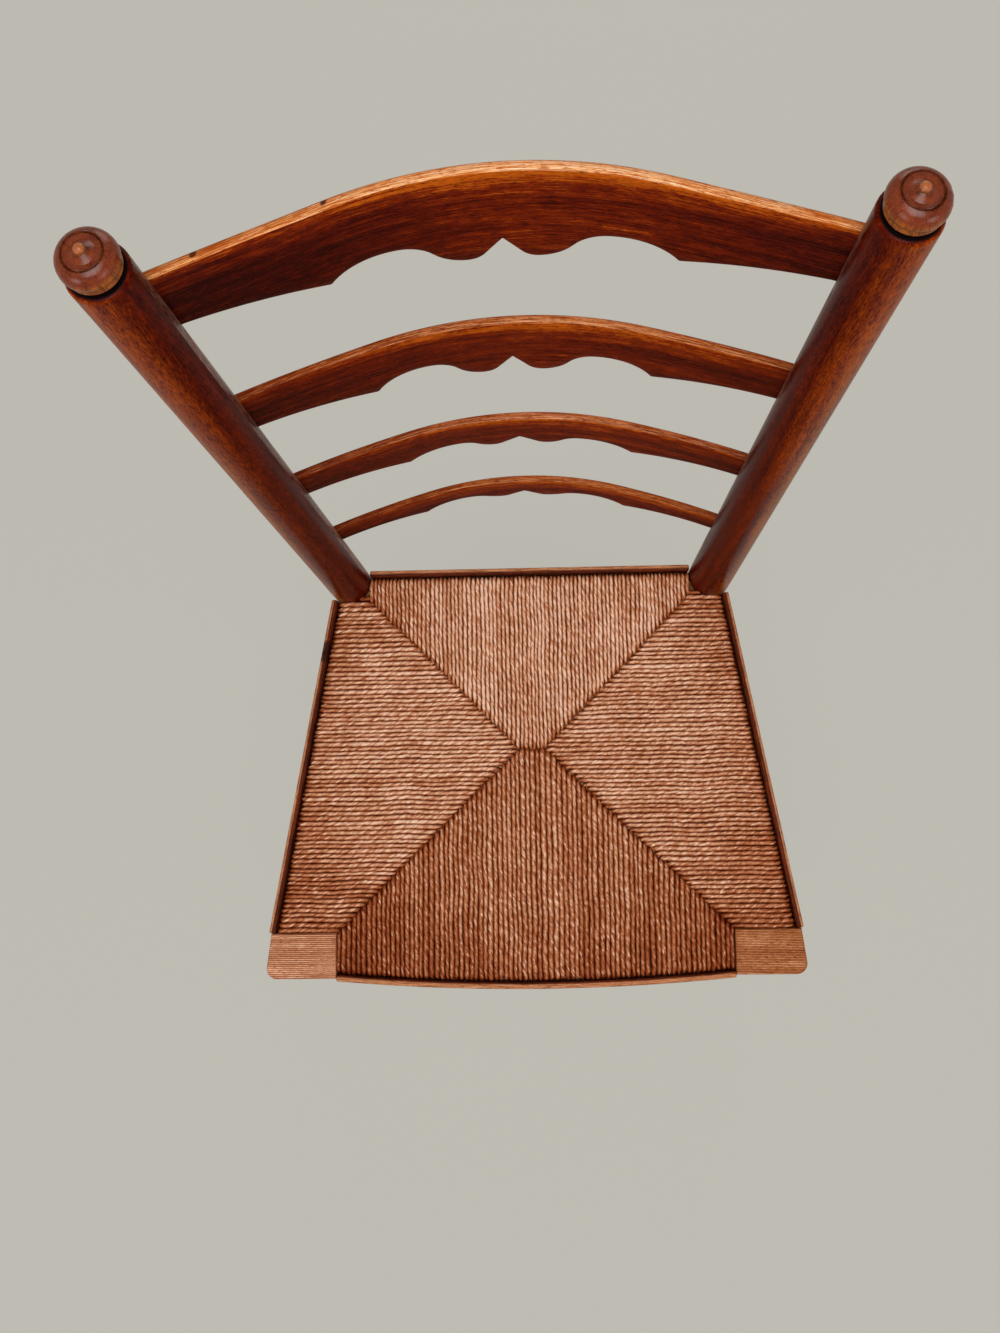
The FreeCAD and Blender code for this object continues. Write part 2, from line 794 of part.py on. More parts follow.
def post_steps():
    shoulder = "Sizes.shoulder_height"
    neck = f"{shoulder} + Sizes.neck_height"
    drum = f"{neck} + Sizes.drum_height"
    cap = f"{drum} + Sizes.cap_rise"
    ring = f"{cap} + Sizes.cap_crown"
    button = f"{ring} + Sizes.button_foot"
    return [
        ("0", f"-{post_below}", "line"),
        ("Sizes.post_foot_radius", f"-{post_below}", "line"),
        ("Sizes.post_seat_radius", "-Sizes.post_straight", "line"),
        ("Sizes.post_seat_radius", "Sizes.post_collar", "line"),
        ("Sizes.post_top_radius", f"{shoulder} - Sizes.shoulder_round", "upright"),
        ("Sizes.post_top_radius - Sizes.shoulder_round", shoulder, "line"),
        ("Sizes.neck_radius", shoulder, "line"),
        ("Sizes.neck_radius", neck, "line"),
        ("Sizes.drum_radius", neck, "line"),
        ("Sizes.drum_radius - Sizes.drum_taper", drum, "upright next"),
        ("Sizes.cap_radius", cap, "upright"),
        ("Sizes.ring_radius + Sizes.ring_width / 2", ring, "line"),
        ("Sizes.ring_radius", f"{ring} - Sizes.ring_depth", "line"),
        ("Sizes.ring_radius - Sizes.ring_width / 2", ring, "line"),
        ("(Sizes.ring_radius + Sizes.button_radius) / 2", f"{ring} - Sizes.dish_depth", "line"),
        ("Sizes.button_radius", button, "flat next"),
        ("0", f"{button} + Sizes.button_height", "line"),
    ]


def post_radius(up_back):
    """Radius of a post at a height above its collar."""
    low, high = size("post_collar"), size("shoulder_height") - size("shoulder_round")
    share = (up_back - low) / (high - low)
    return size("post_seat_radius") + share * (size("post_top_radius") - size("post_seat_radius"))


def peg(name, side, radius, extra):
    """Peg from the back of a post through the end of the top slat."""
    half, _, _ = slat_curve(1)
    frame = slat_frame(1, size("slat_1_end") / 2)
    x = side * (half - size("peg_inset"))
    y = math.sqrt(post_radius(slat_middle(1)) ** 2 - size("peg_inset") ** 2) - size("peg_sunk")
    start = frame.multVec(Vector(x, y - size("peg_length") - extra, 0))
    end = frame.multVec(Vector(x, y + max(extra - GAP, 0), 0))
    return rod(f"{name}_{'left' if side < 0 else 'right'}", start, end, radius)


pegs = doc.addObject("Part::Compound", "pegs")
pegs.Links = [peg("peg", side, "Sizes.peg_radius", 0) for side in SIDES.values()]
keep("slat_pegs", pegs)
peg_holes = {
    name: peg("peg_hole", side, "Sizes.peg_radius + Sizes.joint_gap", GAP + 2)
    for name, side in SIDES.items()
}

far_out = size("front_width")
floor = box("floor", Vector(-far_out, -far_out, -SEAT_Z / 2), Vector(far_out, far_out, 0))
for name, side in SIDES.items():
    post = turned(f"{name}_post_turning", post_steps(), post_frame(side))
    tools = [floor, *mortises, back_rail_room, side_rail_rooms[name], back_socket]
    tools += [*side_sockets[name], peg_holes[name]]
    keep(f"back_post_{name}", cut(f"{name}_post", post, tools))

# Slats, the top one drilled for its pegs

for number, shaped in shaped_slats.items():
    if number == 1:
        shaped = cut("slat_1_drilled", shaped, list(peg_holes.values()))
    keep(f"slat_{number}", shaped)

# Front legs and corner blocks

leg_top = SEAT_Z - size("block_thickness")
top_cell = worked("leg_top", leg_top)


def leg_steps():
    return [
        ("0", "0", "line"),
        ("Sizes.leg_sole_radius", "0", "upright next"),
        ("Sizes.leg_foot_radius", "Sizes.leg_foot_height", "upright"),
        ("Sizes.leg_ankle_radius", "Sizes.leg_ankle_height", "line"),
        ("Sizes.leg_radius", "Sizes.leg_swell_height", "line"),
        ("Sizes.leg_radius", top_cell, "line"),
        ("Sizes.leg_tenon_radius", top_cell, "line"),
        ("Sizes.leg_tenon_radius", f"{top_cell} + Sizes.leg_tenon_length", "line"),
        ("0", f"{top_cell} + Sizes.leg_tenon_length", "line"),
    ]


def corner_block(name, side):
    width, depth = size("front_width") / 2, size("block_depth")
    corner = size("block_corner")
    spots = [
        (BLOCK_IN, 0, "line"),
        (width - corner, 0, "flat"),
        (width, corner, "line"),
        (width - size("block_taper"), depth, "line"),
        (BLOCK_IN, depth, "line"),
    ]
    points = [(side * x, y, kind) for x, y, kind in spots]
    block = plan_plate(
        f"{name}_block_plate", points, size("block_thickness"),
        seat_level(-size("block_thickness")),
    )
    doc.recompute()
    plain = block.Tip
    rim = [
        f"Edge{i}" for i, edge in enumerate(plain.Shape.Edges, 1)
        if edge.BoundBox.ZMin > size("block_thickness") - GAP
    ]
    rounding = block.newObject("PartDesign::Fillet", f"{name}_block_rim")
    rounding.Base = (plain, rim)
    bind(rounding, "Radius", "Sizes.block_edge_round")
    block.Tip = rounding
    return block


for name, side in SIDES.items():
    foot = leg_point(side, 0)
    leg = turned(f"{name}_leg_turning", leg_steps(), Placement(foot, Rotation()))
    keep(f"front_leg_{name}", cut(f"{name}_leg", leg, [*front_sockets, *side_sockets[name]]))
    top = leg_point(side, leg_top)
    leg_socket = rod(
        f"{name}_leg_socket", top - Vector(0, 0, 1),
        top + Vector(0, 0, size("leg_tenon_length") + GAP),
        "Sizes.leg_tenon_radius + Sizes.joint_gap",
    )
    block = corner_block(name, side)
    tools = [leg_socket, front_rail_room, side_rail_rooms[name]]
    keep(f"corner_block_{name}", cut(f"{name}_block", block, tools))

# Strips round the seat

post_rooms = []
for name, side in SIDES.items():
    frame = post_frame(side)
    low = frame.multVec(Vector(0, 0, -size("post_straight")))
    high = frame.multVec(Vector(0, 0, size("post_collar")))
    post_rooms.append(
        rod(f"{name}_post_room", low, high, "Sizes.post_seat_radius + Sizes.seat_gap")
    )

STRIP_TOP = -size("strip_drop")
STRIP_BOTTOM = STRIP_TOP - size("strip_height")
front_strip = front_bar(
    "front_strip", 0, size("strip_thickness"), BLOCK_IN - TOUCH, STRIP_BOTTOM, STRIP_TOP
)
keep("edge_strip_front", cut("front_strip_drilled", front_strip, [pin_holes]))
half = size("post_spacing") / 2
back_strip = seat_box(
    "back_strip", (-half, back_face - STRIP_IN, STRIP_BOTTOM), (half, back_face, STRIP_TOP)
)
keep("edge_strip_back", cut("back_strip_drilled", back_strip, [*post_rooms, pin_holes]))
for name, side in SIDES.items():
    strip = plan_plate(
        f"{name}_strip",
        side_quad(
            side, 0, STRIP_IN, BLOCK_BACK + TOUCH,
            size("post_setback") - size("side_strip_stop"),
        ),
        size("strip_height"),
        seat_level(STRIP_BOTTOM),
    )
    keep(f"edge_strip_{name}", cut(f"{name}_strip_drilled", strip, [*post_rooms, pin_holes]))

# Stuffing between the rails, and the rush wound round everything

stuffing_near = BLOCK_BACK + size("stuffing_inset")
stuffing_far = back_face - RAIL_IN - size("stuffing_inset")
stuffing_in = RAIL_IN + size("stuffing_inset")
STUFFING_TOP = TOP_Z - size("seat_dip") - size("stuffing_cover")
STUFFING_BOTTOM = RUSH_BOTTOM + size("stuffing_cover")


def stuffing(name, grow=0):
    near, far = stuffing_near - grow, stuffing_far + grow
    corners = [(near, 1), (far, 1), (far, -1), (near, -1)]
    points = [(side * side_line(stuffing_in - grow, y), y, "line") for y, side in corners]
    thick = STUFFING_TOP - STUFFING_BOTTOM + 2 * grow
    return plan_plate(name, points, thick, seat_level(STUFFING_BOTTOM - grow))


keep("seat_stuffing", stuffing("stuffing"))

rush_side = BLOCK_IN - TOUCH
rush_front = front_line(RUSH_OUT, rush_side)
rush_back = back_face - RUSH_OUT
notch_back = BLOCK_BACK + TOUCH
rush_half = [
    (0, front_line(RUSH_OUT, 0), "flat"),
    (rush_side, rush_front, "line"),
    (rush_side, notch_back, "line"),
    (side_line(RUSH_OUT, notch_back), notch_back, "line"),
    (side_line(RUSH_OUT, rush_back), rush_back, "line"),
]
rush_points = list(rush_half)
for i in range(len(rush_half) - 1, 0, -1):
    x, y, _ = rush_half[i]
    rush_points.append((-x, y, MIRRORED[rush_half[i - 1][2]]))
rush_points[4] = (*rush_half[4][:2], "line")
rush_body = plan_plate("rush_plate", rush_points, TOP_Z - RUSH_BOTTOM, seat_level(RUSH_BOTTOM))
doc.recompute()


def outer_rim(shape, thickness):
    """Upper and lower edges on the rush's outside, not those along the blocks."""
    names = []
    for i, edge in enumerate(shape.Edges, 1):
        bounds = edge.BoundBox
        middle = edge.valueAt((edge.FirstParameter + edge.LastParameter) / 2)
        flat = bounds.ZMax - bounds.ZMin < GAP
        beside_block = abs(middle.x) > rush_side - GAP and middle.y < notch_back + GAP
        if flat and not beside_block:
            names.append(f"Edge{i}")
    return names


plain_rush = rush_body.Tip
rush_rim = rush_body.newObject("PartDesign::Fillet", "rush_rim")
rush_rim.Base = (plain_rush, outer_rim(plain_rush.Shape, TOP_Z - RUSH_BOTTOM))
bind(rush_rim, "Radius", "Sizes.rush_edge_round")
rush_body.Tip = rush_rim

# The seat dips along four planes that meet on the diagonals and the middle seam.
SPREAD = 1.2
seam_z = TOP_Z - size("seat_dip")


def dish_outline(name, spread):
    """Level cut through the dip: spread 0 is the seam and 1 the seat's edge."""
    seam = {1: size("seam_half"), -1: -size("seam_half")}
    points = []
    for y, side in ((front_apex, 1), (back_face, 1), (back_face, -1), (front_apex, -1)):
        edge_x = side * side_line(0, y)
        x = seam[side] + spread * (edge_x - seam[side])
        points.append((x, size("seam_back") + spread * (y - size("seam_back")), "line"))
    sketch = doc.addObject("Sketcher::SketchObject", name)
    steps = [
        (worked(f"{name}_x{i}", x), worked(f"{name}_y{i}", y), kind)
        for i, (x, y, kind) in enumerate(points)
    ]
    draw_outline(sketch, steps)
    sketch.Placement = seat_level(seam_z + spread * size("seat_dip"))
    return sketch


dish = doc.addObject("Part::Loft", "dish")
dish.Sections = [dish_outline("dish_low", 0.01), dish_outline("dish_high", SPREAD)]
dish.Solid = True
dish.Ruled = True

rush_tools = [
    dish, *post_rooms, front_rail_room, back_rail_room, *side_rail_rooms.values(),
    stuffing("stuffing_room", TOUCH), pin_holes,
]
keep("rush_seat", cut("rush", rush_body, rush_tools))
doc.recompute()

# Tests of every piece, then one file for each

faults = [obj.Name for obj in doc.Objects if {"Invalid", "Error"} & set(obj.State)]
for piece in PARTS:
    if piece.Shape.isNull() or not piece.Shape.isValid() or not piece.Shape.Solids:
        faults.append(piece.Label)
if faults:
    raise RuntimeError("faulty pieces: " + ", ".join(faults))

os.makedirs("parts", exist_ok=True)
for piece in PARTS:
    piece.Shape.exportStep(f"parts/{piece.Label}.step")
    print(piece.Label, len(piece.Shape.Solids), round(piece.Shape.Volume / 1000, 1), "cm3")
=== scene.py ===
import math
import random

import bpy
from mathutils import Euler, Matrix, Vector, noise


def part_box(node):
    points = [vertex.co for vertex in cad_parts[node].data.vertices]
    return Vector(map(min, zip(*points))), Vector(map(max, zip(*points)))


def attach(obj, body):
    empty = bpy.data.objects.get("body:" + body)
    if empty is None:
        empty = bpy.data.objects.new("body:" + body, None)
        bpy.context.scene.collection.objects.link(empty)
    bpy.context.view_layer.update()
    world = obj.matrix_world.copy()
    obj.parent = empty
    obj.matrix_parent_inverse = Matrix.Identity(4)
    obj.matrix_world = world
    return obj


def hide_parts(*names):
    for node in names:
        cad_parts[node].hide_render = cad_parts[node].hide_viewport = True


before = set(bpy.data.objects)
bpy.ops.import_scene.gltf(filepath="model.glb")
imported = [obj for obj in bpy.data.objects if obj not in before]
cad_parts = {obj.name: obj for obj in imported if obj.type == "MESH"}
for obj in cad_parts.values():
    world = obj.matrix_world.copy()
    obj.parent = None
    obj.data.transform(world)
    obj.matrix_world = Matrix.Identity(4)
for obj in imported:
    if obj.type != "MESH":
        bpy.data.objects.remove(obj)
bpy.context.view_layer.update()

MM = 0.001

# Sizes of the chair, in millimetres, as in the solids. Places in the seat are measured across,
# back from the corner blocks' front face, and up from the blocks' top.
SEAT_Z = 440
FRONT_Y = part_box("corner_block_left")[0][1] / MM
POST_SETBACK = 373.5
POST_SPACING = 346.6
NECK_UP = 603                  # up the back, to the neck below the finial
RAKE = math.radians(5)
SPLAY = math.radians(2.05)
TWIST = math.radians(0.85)
SEAM_Y, SEAM_HALF = 211, 12    # seam in the middle of the rush
PLY_TURN = 22                  # length over which a cord's two plies turn round once


def mm(*values):
    return Vector(values) * MM


def seat_point(x, y, z):
    """Point by its distance behind the blocks' front face and above their top."""
    return mm(x, FRONT_Y + y, SEAT_Z + z)


# Camera: it looks down on the seat from above and in front of the back

IMAGE_WIDTH, IMAGE_HEIGHT = 1000, 1333
FOCAL_PIXELS = 1228.5
CENTRE_X, CENTRE_Y = 512.4, 666.1    # pixels, where the lens's axis meets the image
SENSOR = 36
CAMERA_PLACE = mm(20.75, FRONT_Y + 159.31, 1597.89)
CAMERA_TURN = (6.35, 1.96, -0.84)    # degrees about X, Y and Z


def make_camera():
    data = bpy.data.cameras.new("camera")
    data.sensor_width = SENSOR
    data.lens = SENSOR * FOCAL_PIXELS / IMAGE_HEIGHT
    data.shift_x = (IMAGE_WIDTH / 2 - CENTRE_X) / IMAGE_HEIGHT
    data.shift_y = (CENTRE_Y - IMAGE_HEIGHT / 2) / IMAGE_HEIGHT
    data.clip_start = 0.05
    camera = bpy.data.objects.new("camera", data)
    bpy.context.scene.collection.objects.link(camera)
    camera.location = CAMERA_PLACE
    camera.rotation_euler = Euler([math.radians(turn) for turn in CAMERA_TURN])
    bpy.context.scene.camera = camera


make_camera()
bpy.context.scene.view_settings.view_transform = "Standard"


# Materials

def colour(hex_code, alpha=1.0):
    """Linear colour from an sRGB hex value."""
    channels = [int(hex_code[i:i + 2], 16) / 255 for i in (1, 3, 5)]
    linear = [c / 12.92 if c <= 0.04045 else ((c + 0.055) / 1.055) ** 2.4 for c in channels]
    return (*linear, alpha)


def add_node(tree, kind, inputs=None, stops=None, **settings):
    """Adds a node with its settings, its inputs' values or links, and a ramp's stops."""
    node = tree.nodes.new(kind)
    for key, value in settings.items():
        setattr(node, key, value)
    if stops:
        elements = node.color_ramp.elements
        while len(elements) < len(stops):
            elements.new(1.0)
        for element, (place, shade) in zip(elements, stops):
            element.position = place
            element.color = colour(shade)
    for key, value in (inputs or {}).items():
        if isinstance(value, bpy.types.NodeSocket):
            tree.links.new(value, node.inputs[key])
        else:
            node.inputs[key].default_value = value
    return node


def new_material(name):
    material = bpy.data.materials.new(name)
    material.use_nodes = True
    tree = material.node_tree
    tree.nodes.clear()
    return material, tree


def finish_material(tree, inputs):
    shader = add_node(tree, "ShaderNodeBsdfPrincipled", inputs)
    add_node(tree, "ShaderNodeOutputMaterial", {"Surface": shader.outputs[0]})


# Wave texture of scale 1: its wave length, in metres
WAVE_LENGTH = 0.314


class Oak:
    """Oak, stained dark and then waxed by hand: satin, with streaks and bands along the grain
    and short dark pores. Its shades run from the dark bands to the light ones. The grain
    follows an axis, or a board's own lay. Wear, painted light and painted shade go over the
    stain, layer by layer."""

    def __init__(self, name, shades, along, turn=(0, 0, 0), streak=(1.0, 40), seed=0.0):
        self.material, self.tree = new_material(name)
        self.shades = shades
        self.along = along
        self.shaded_ends = None
        self.polished = None
        tree = self.tree
        place = add_node(tree, "ShaderNodeTexCoord")
        self.normal = place.outputs["Normal"]
        self.source = place.outputs["Object"]
        if along == "lay":
            self.along = "X"
            lay = add_node(tree, "ShaderNodeAttribute", attribute_name="lay")
            self.source = lay.outputs["Vector"]
        self.straight = add_node(
            tree, "ShaderNodeMapping",
            {"Vector": self.source, "Rotation": turn, "Location": (seed,) * 3},
        ).outputs[0]
        self.streaks = self.grain(*streak, rough=0.7)
        self.pores = self.grain(0.5, 5, 2.0, 0.7)
        self.veins = add_node(
            tree, "ShaderNodeMath", {0: self.streaks, 1: 1.6, 2: self.grain(6, 140, 2.0)},
            operation="MULTIPLY_ADD",
        ).outputs[0]
        mottle = self.grain(7, 13, 4.0, 0.7, 0.4)
        flecks = self.grain(0.7, 4, 3.0, 0.75)
        figure = self.veins
        for value, weight in ((mottle, 0.8), (flecks, 0.9)):
            figure = add_node(
                tree, "ShaderNodeMath", {0: value, 1: weight, 2: figure}, operation="MULTIPLY_ADD"
            ).outputs[0]
        self.figure = add_node(
            tree, "ShaderNodeMapRange", {"Value": figure, "From Min": 1.65, "From Max": 2.65},
        ).outputs[0]

    def grain(self, across, length, detail=3.0, rough=0.6, twist=0.0):
        """Noise drawn out along the grain: width and length of its streaks in mm."""
        scale = [1.0, 1.0, 1.0]
        scale["XYZ".index(self.along)] = across / length
        drawn = add_node(
            self.tree, "ShaderNodeMapping", {"Vector": self.straight, "Scale": scale}
        )
        return add_node(
            self.tree, "ShaderNodeTexNoise",
            {"Vector": drawn.outputs[0], "Scale": 1 / (across * MM), "Detail": detail,
             "Roughness": rough, "Distortion": twist},
        ).outputs["Fac"]

    def rise(self, base, start, end, least=0.0):
        """Goes from least to 1 between two heights on an upright post, in mm above a base."""
        spot = add_node(self.tree, "ShaderNodeSeparateXYZ", {"Vector": self.straight})
        return add_node(
            self.tree, "ShaderNodeMapRange",
            {"Value": spot.outputs["Z"], "From Min": base + start * MM,
             "From Max": base + end * MM, "To Min": least},
        ).outputs[0]

    def draw_rings(self, spacing):
        """Dark lines where a sawn face cuts the growth rings, at a spacing in mm."""
        lines = add_node(
            self.tree, "ShaderNodeTexWave",
            {"Vector": self.straight, "Scale": WAVE_LENGTH / (spacing * MM), "Distortion": 1.2,
             "Detail": 2.0, "Detail Scale": 0.3},
            bands_direction="Y",
        )
        thin = add_node(
            self.tree, "ShaderNodeMapRange",
            {"Value": lines.outputs["Fac"], "From Max": 0.7, "To Min": -0.75, "To Max": 0.18},
        )
        self.figure = add_node(
            self.tree, "ShaderNodeMath", {0: thin.outputs[0], 1: self.figure}, operation="ADD"
        ).outputs[0]

    def rub_below_top(self, amount):
        """Stain that hands have rubbed paler below a board's top edge, with painted shade that
        darkens the board towards its ends.
        """
        tree = self.tree
        spot = add_node(tree, "ShaderNodeSeparateXYZ", {"Vector": self.source})
        near_top = add_node(
            tree, "ShaderNodeMapRange",
            {"Value": spot.outputs["Y"], "From Min": -20 * MM, "From Max": 4 * MM},
        )
        along = add_node(
            tree, "ShaderNodeMath", {0: spot.outputs["X"], 1: 35 * MM}, operation="SUBTRACT"
        )
        along = add_node(tree, "ShaderNodeMath", {0: along.outputs[0]}, operation="ABSOLUTE")
        # painted shade: the board darker towards its ends, by the posts
        self.shaded_ends = add_node(
            tree, "ShaderNodeMapRange",
            {"Value": along.outputs[0], "From Min": 30 * MM, "From Max": 180 * MM,
             "To Max": -0.5},
        ).outputs[0]
        paler = add_node(
            tree, "ShaderNodeMath", {0: near_top.outputs[0], 1: self.shaded_ends},
            operation="ADD",
        )
        self.figure = add_node(
            tree, "ShaderNodeMath", {0: paler.outputs[0], 1: amount, 2: self.figure},
            operation="MULTIPLY_ADD",
        ).outputs[0]

    def stain(self):
        dark, deep, warm, light = self.shades
        self.surface = add_node(
            self.tree, "ShaderNodeValToRGB", {"Fac": self.figure},
            stops=[(0.0, dark), (0.45, deep), (0.8, warm), (1.0, light)],
        ).outputs["Color"]

    def paint_light_on_side(self, direction, dark, light, facing, most, limits):
        """Painted light: paler shades on the side that faces a direction, within some limits. The
        posts take it for their lit side, a painted sheen along their outer edges and a painted
        reflection along their inner back edges.
        """
        tree = self.tree
        toward = add_node(
            tree, "ShaderNodeVectorMath", {0: self.normal, 1: direction}, operation="DOT_PRODUCT"
        )
        patchy = add_node(
            tree, "ShaderNodeMath", {0: self.veins, 1: 0.3, 2: toward.outputs["Value"]},
            operation="MULTIPLY_ADD",
        )
        where = add_node(
            tree, "ShaderNodeMapRange",
            {"Value": patchy.outputs[0], "From Min": facing[0], "From Max": facing[1],
             "To Max": most},
            interpolation_type="SMOOTHSTEP",
        ).outputs[0]
        for limit in limits:
            where = add_node(
                tree, "ShaderNodeMath", {0: where, 1: limit}, operation="MULTIPLY"
            ).outputs[0]
        # paler shades that stand in for light falling on that side
        lit_shades = add_node(
            tree, "ShaderNodeValToRGB", {"Fac": self.figure}, stops=[(0.1, dark), (0.85, light)]
        )
        self.surface = add_node(
            tree, "ShaderNodeMix", {0: where, 6: self.surface, 7: lit_shades.outputs["Color"]},
            data_type="RGBA",
        ).outputs[2]

    def open_pores(self):
        """Pores, in which the stain stays darkest."""
        open_pore = add_node(
            self.tree, "ShaderNodeMapRange",
            {"Value": self.pores, "From Min": 0.45, "From Max": 0.36},
        )
        self.surface = add_node(
            self.tree, "ShaderNodeMix",
            {0: open_pore.outputs[0], 6: self.surface, 7: colour(self.shades[0])},
            data_type="RGBA",
        ).outputs[2]

    def polish_finial(self, neck):
        """Finial above a post's neck: red shellac; in its top a paler button, with painted shade in
        the hollow round it and in the ring cut further out; an orange band at the finial's foot;
        and painted shade, nearly black, in the neck under the cap."""
        tree = self.tree
        self.polished = self.rise(neck.z, 1.2, 1.5)
        above_band = self.rise(neck.z, 8, 11)
        in_neck = self.rise(neck.z, -2.6, -2.0)
        from_axis = add_node(
            tree, "ShaderNodeMapping",
            {"Vector": self.straight, "Location": (-neck.x, -neck.y, 0), "Scale": (1, 1, 0)},
        )
        radius = add_node(
            tree, "ShaderNodeVectorMath", {0: from_axis.outputs[0]}, operation="LENGTH"
        ).outputs["Value"]
        share = add_node(tree, "ShaderNodeMapRange", {"Value": radius, "From Max": 20 * MM})
        # by distance from the axis: the paler button, then painted shade in the hollow round it and
        # in the cut ring
        turned = add_node(
            tree, "ShaderNodeValToRGB", {"Fac": share.outputs[0]},
            stops=[(0.13, "#B4683A"), (0.18, "#300800"), (0.27, "#70280E"), (0.44, "#541604"),
                   (0.49, "#160200"), (0.53, "#200400"), (0.58, "#5C1A06"), (0.75, "#702810")],
        )
        figured = add_node(
            tree, "ShaderNodeValToRGB", {"Fac": self.figure},
            stops=[(0.1, "#3E0C00"), (0.85, "#A84E22")],
        )
        cap = add_node(
            tree, "ShaderNodeMix",
            {0: 0.6, 6: figured.outputs["Color"], 7: turned.outputs["Color"]}, data_type="RGBA",
        )
        band = add_node(
            tree, "ShaderNodeValToRGB", {"Fac": self.figure},
            stops=[(0.1, "#5A1800"), (0.85, "#B0601C")],
        )
        finial = add_node(
            tree, "ShaderNodeMix",
            {0: above_band, 6: band.outputs["Color"], 7: cap.outputs[2]}, data_type="RGBA",
        )
        inside = add_node(
            tree, "ShaderNodeMapRange",
            {"Value": radius, "From Min": 16.4 * MM, "From Max": 15 * MM},
        )
        # painted shade in the neck, nearly black, where the cap overhangs it
        neck_shade = add_node(
            tree, "ShaderNodeMath", {0: in_neck, 1: inside.outputs[0]}, operation="MULTIPLY"
        )
        shaded_neck = add_node(
            tree, "ShaderNodeMix",
            {0: neck_shade.outputs[0], 6: self.surface, 7: colour("#140A0A")}, data_type="RGBA",
        )
        self.surface = add_node(
            tree, "ShaderNodeMix",
            {0: self.polished, 6: shaded_neck.outputs[2], 7: finial.outputs[2]}, data_type="RGBA",
        ).outputs[2]

    def bare_top(self, shades, start, end, least):
        """Bare wood on a board's upper edge. Its share goes from least to all between two
        places through the board, in mm."""
        tree = self.tree
        normal = add_node(tree, "ShaderNodeSeparateXYZ", {"Vector": self.normal})
        upward = add_node(
            tree, "ShaderNodeMath", {0: self.streaks, 1: 0.7, 2: normal.outputs["Z"]},
            operation="MULTIPLY_ADD",
        )
        rubbed = add_node(
            tree, "ShaderNodeMapRange",
            {"Value": upward.outputs[0], "From Min": 0.8, "From Max": 1.05},
        )
        through = add_node(tree, "ShaderNodeSeparateXYZ", {"Vector": self.source})
        share = add_node(
            tree, "ShaderNodeMapRange",
            {"Value": through.outputs["Z"], "From Min": start * MM, "From Max": end * MM,
             "To Min": least},
        )
        where = add_node(
            tree, "ShaderNodeMath", {0: rubbed.outputs[0], 1: share.outputs[0]},
            operation="MULTIPLY",
        )
        fine = add_node(
            tree, "ShaderNodeMapRange",
            {"Value": self.grain(0.5, 22, 3.0, 0.7), "From Min": 0.36, "From Max": 0.62},
        ).outputs[0]
        # painted shade: the bare edge too darker towards the ends
        if self.shaded_ends is not None:
            fine = add_node(
                tree, "ShaderNodeMath", {0: self.shaded_ends, 1: 0.9, 2: fine},
                operation="MULTIPLY_ADD",
            ).outputs[0]
        dark, warm, light = shades
        wood = add_node(
            tree, "ShaderNodeValToRGB", {"Fac": fine},
            stops=[(0.0, dark), (0.4, warm), (0.9, light)],
        )
        specks = add_node(
            tree, "ShaderNodeMapRange",
            {"Value": self.pores, "From Min": 0.47, "From Max": 0.38, "To Max": 0.8},
        )
        speckled = add_node(
            tree, "ShaderNodeMix",
            {0: specks.outputs[0], 6: wood.outputs["Color"], 7: colour(dark)},
            data_type="RGBA",
        )
        self.surface = add_node(
            tree, "ShaderNodeMix",
            {0: where.outputs[0], 6: self.surface, 7: speckled.outputs[2]}, data_type="RGBA",
        ).outputs[2]

    def mark(self, spot, radius):
        """Small dark knot or bruise, in mm."""
        away = add_node(
            self.tree, "ShaderNodeVectorMath", {0: self.source, 1: Vector(spot) * MM},
            operation="DISTANCE",
        )
        dark = add_node(
            self.tree, "ShaderNodeMapRange",
            {"Value": away.outputs["Value"], "From Min": radius * MM,
             "From Max": 0.6 * radius * MM, "To Max": 0.85},
        )
        self.surface = add_node(
            self.tree, "ShaderNodeMix",
            {0: dark.outputs[0], 6: self.surface, 7: colour("#2A0804")}, data_type="RGBA",
        ).outputs[2]

    def finish(self, roughness=0.3, shine=0.05):
        tree = self.tree
        gloss = add_node(
            tree, "ShaderNodeMapRange",
            {"Value": self.figure, "To Min": roughness - 0.06, "To Max": roughness + 0.1},
        ).outputs[0]
        if self.polished is not None:
            gloss = add_node(
                tree, "ShaderNodeMath", {0: self.polished, 1: -0.12, 2: gloss},
                operation="MULTIPLY_ADD",
            ).outputs[0]
            shine = add_node(
                tree, "ShaderNodeMapRange",
                {"Value": self.polished, "To Min": shine, "To Max": 0.28},
            ).outputs[0]
        bump = add_node(
            tree, "ShaderNodeBump", {"Height": self.pores, "Strength": 0.25, "Distance": 0.3 * MM}
        )
        finish_material(
            tree,
            {"Base Color": self.surface, "Roughness": gloss, "Normal": bump.outputs[0],
             "IOR": 1.5, "Specular IOR Level": shine},
        )
        return self.material


def plain_oak(name, shades, along, roughness=0.3):
    """Oak of a turned or sawn piece that shows no wear."""
    wood = Oak(name, shades, along)
    wood.stain()
    wood.open_pores()
    return wood.finish(roughness)


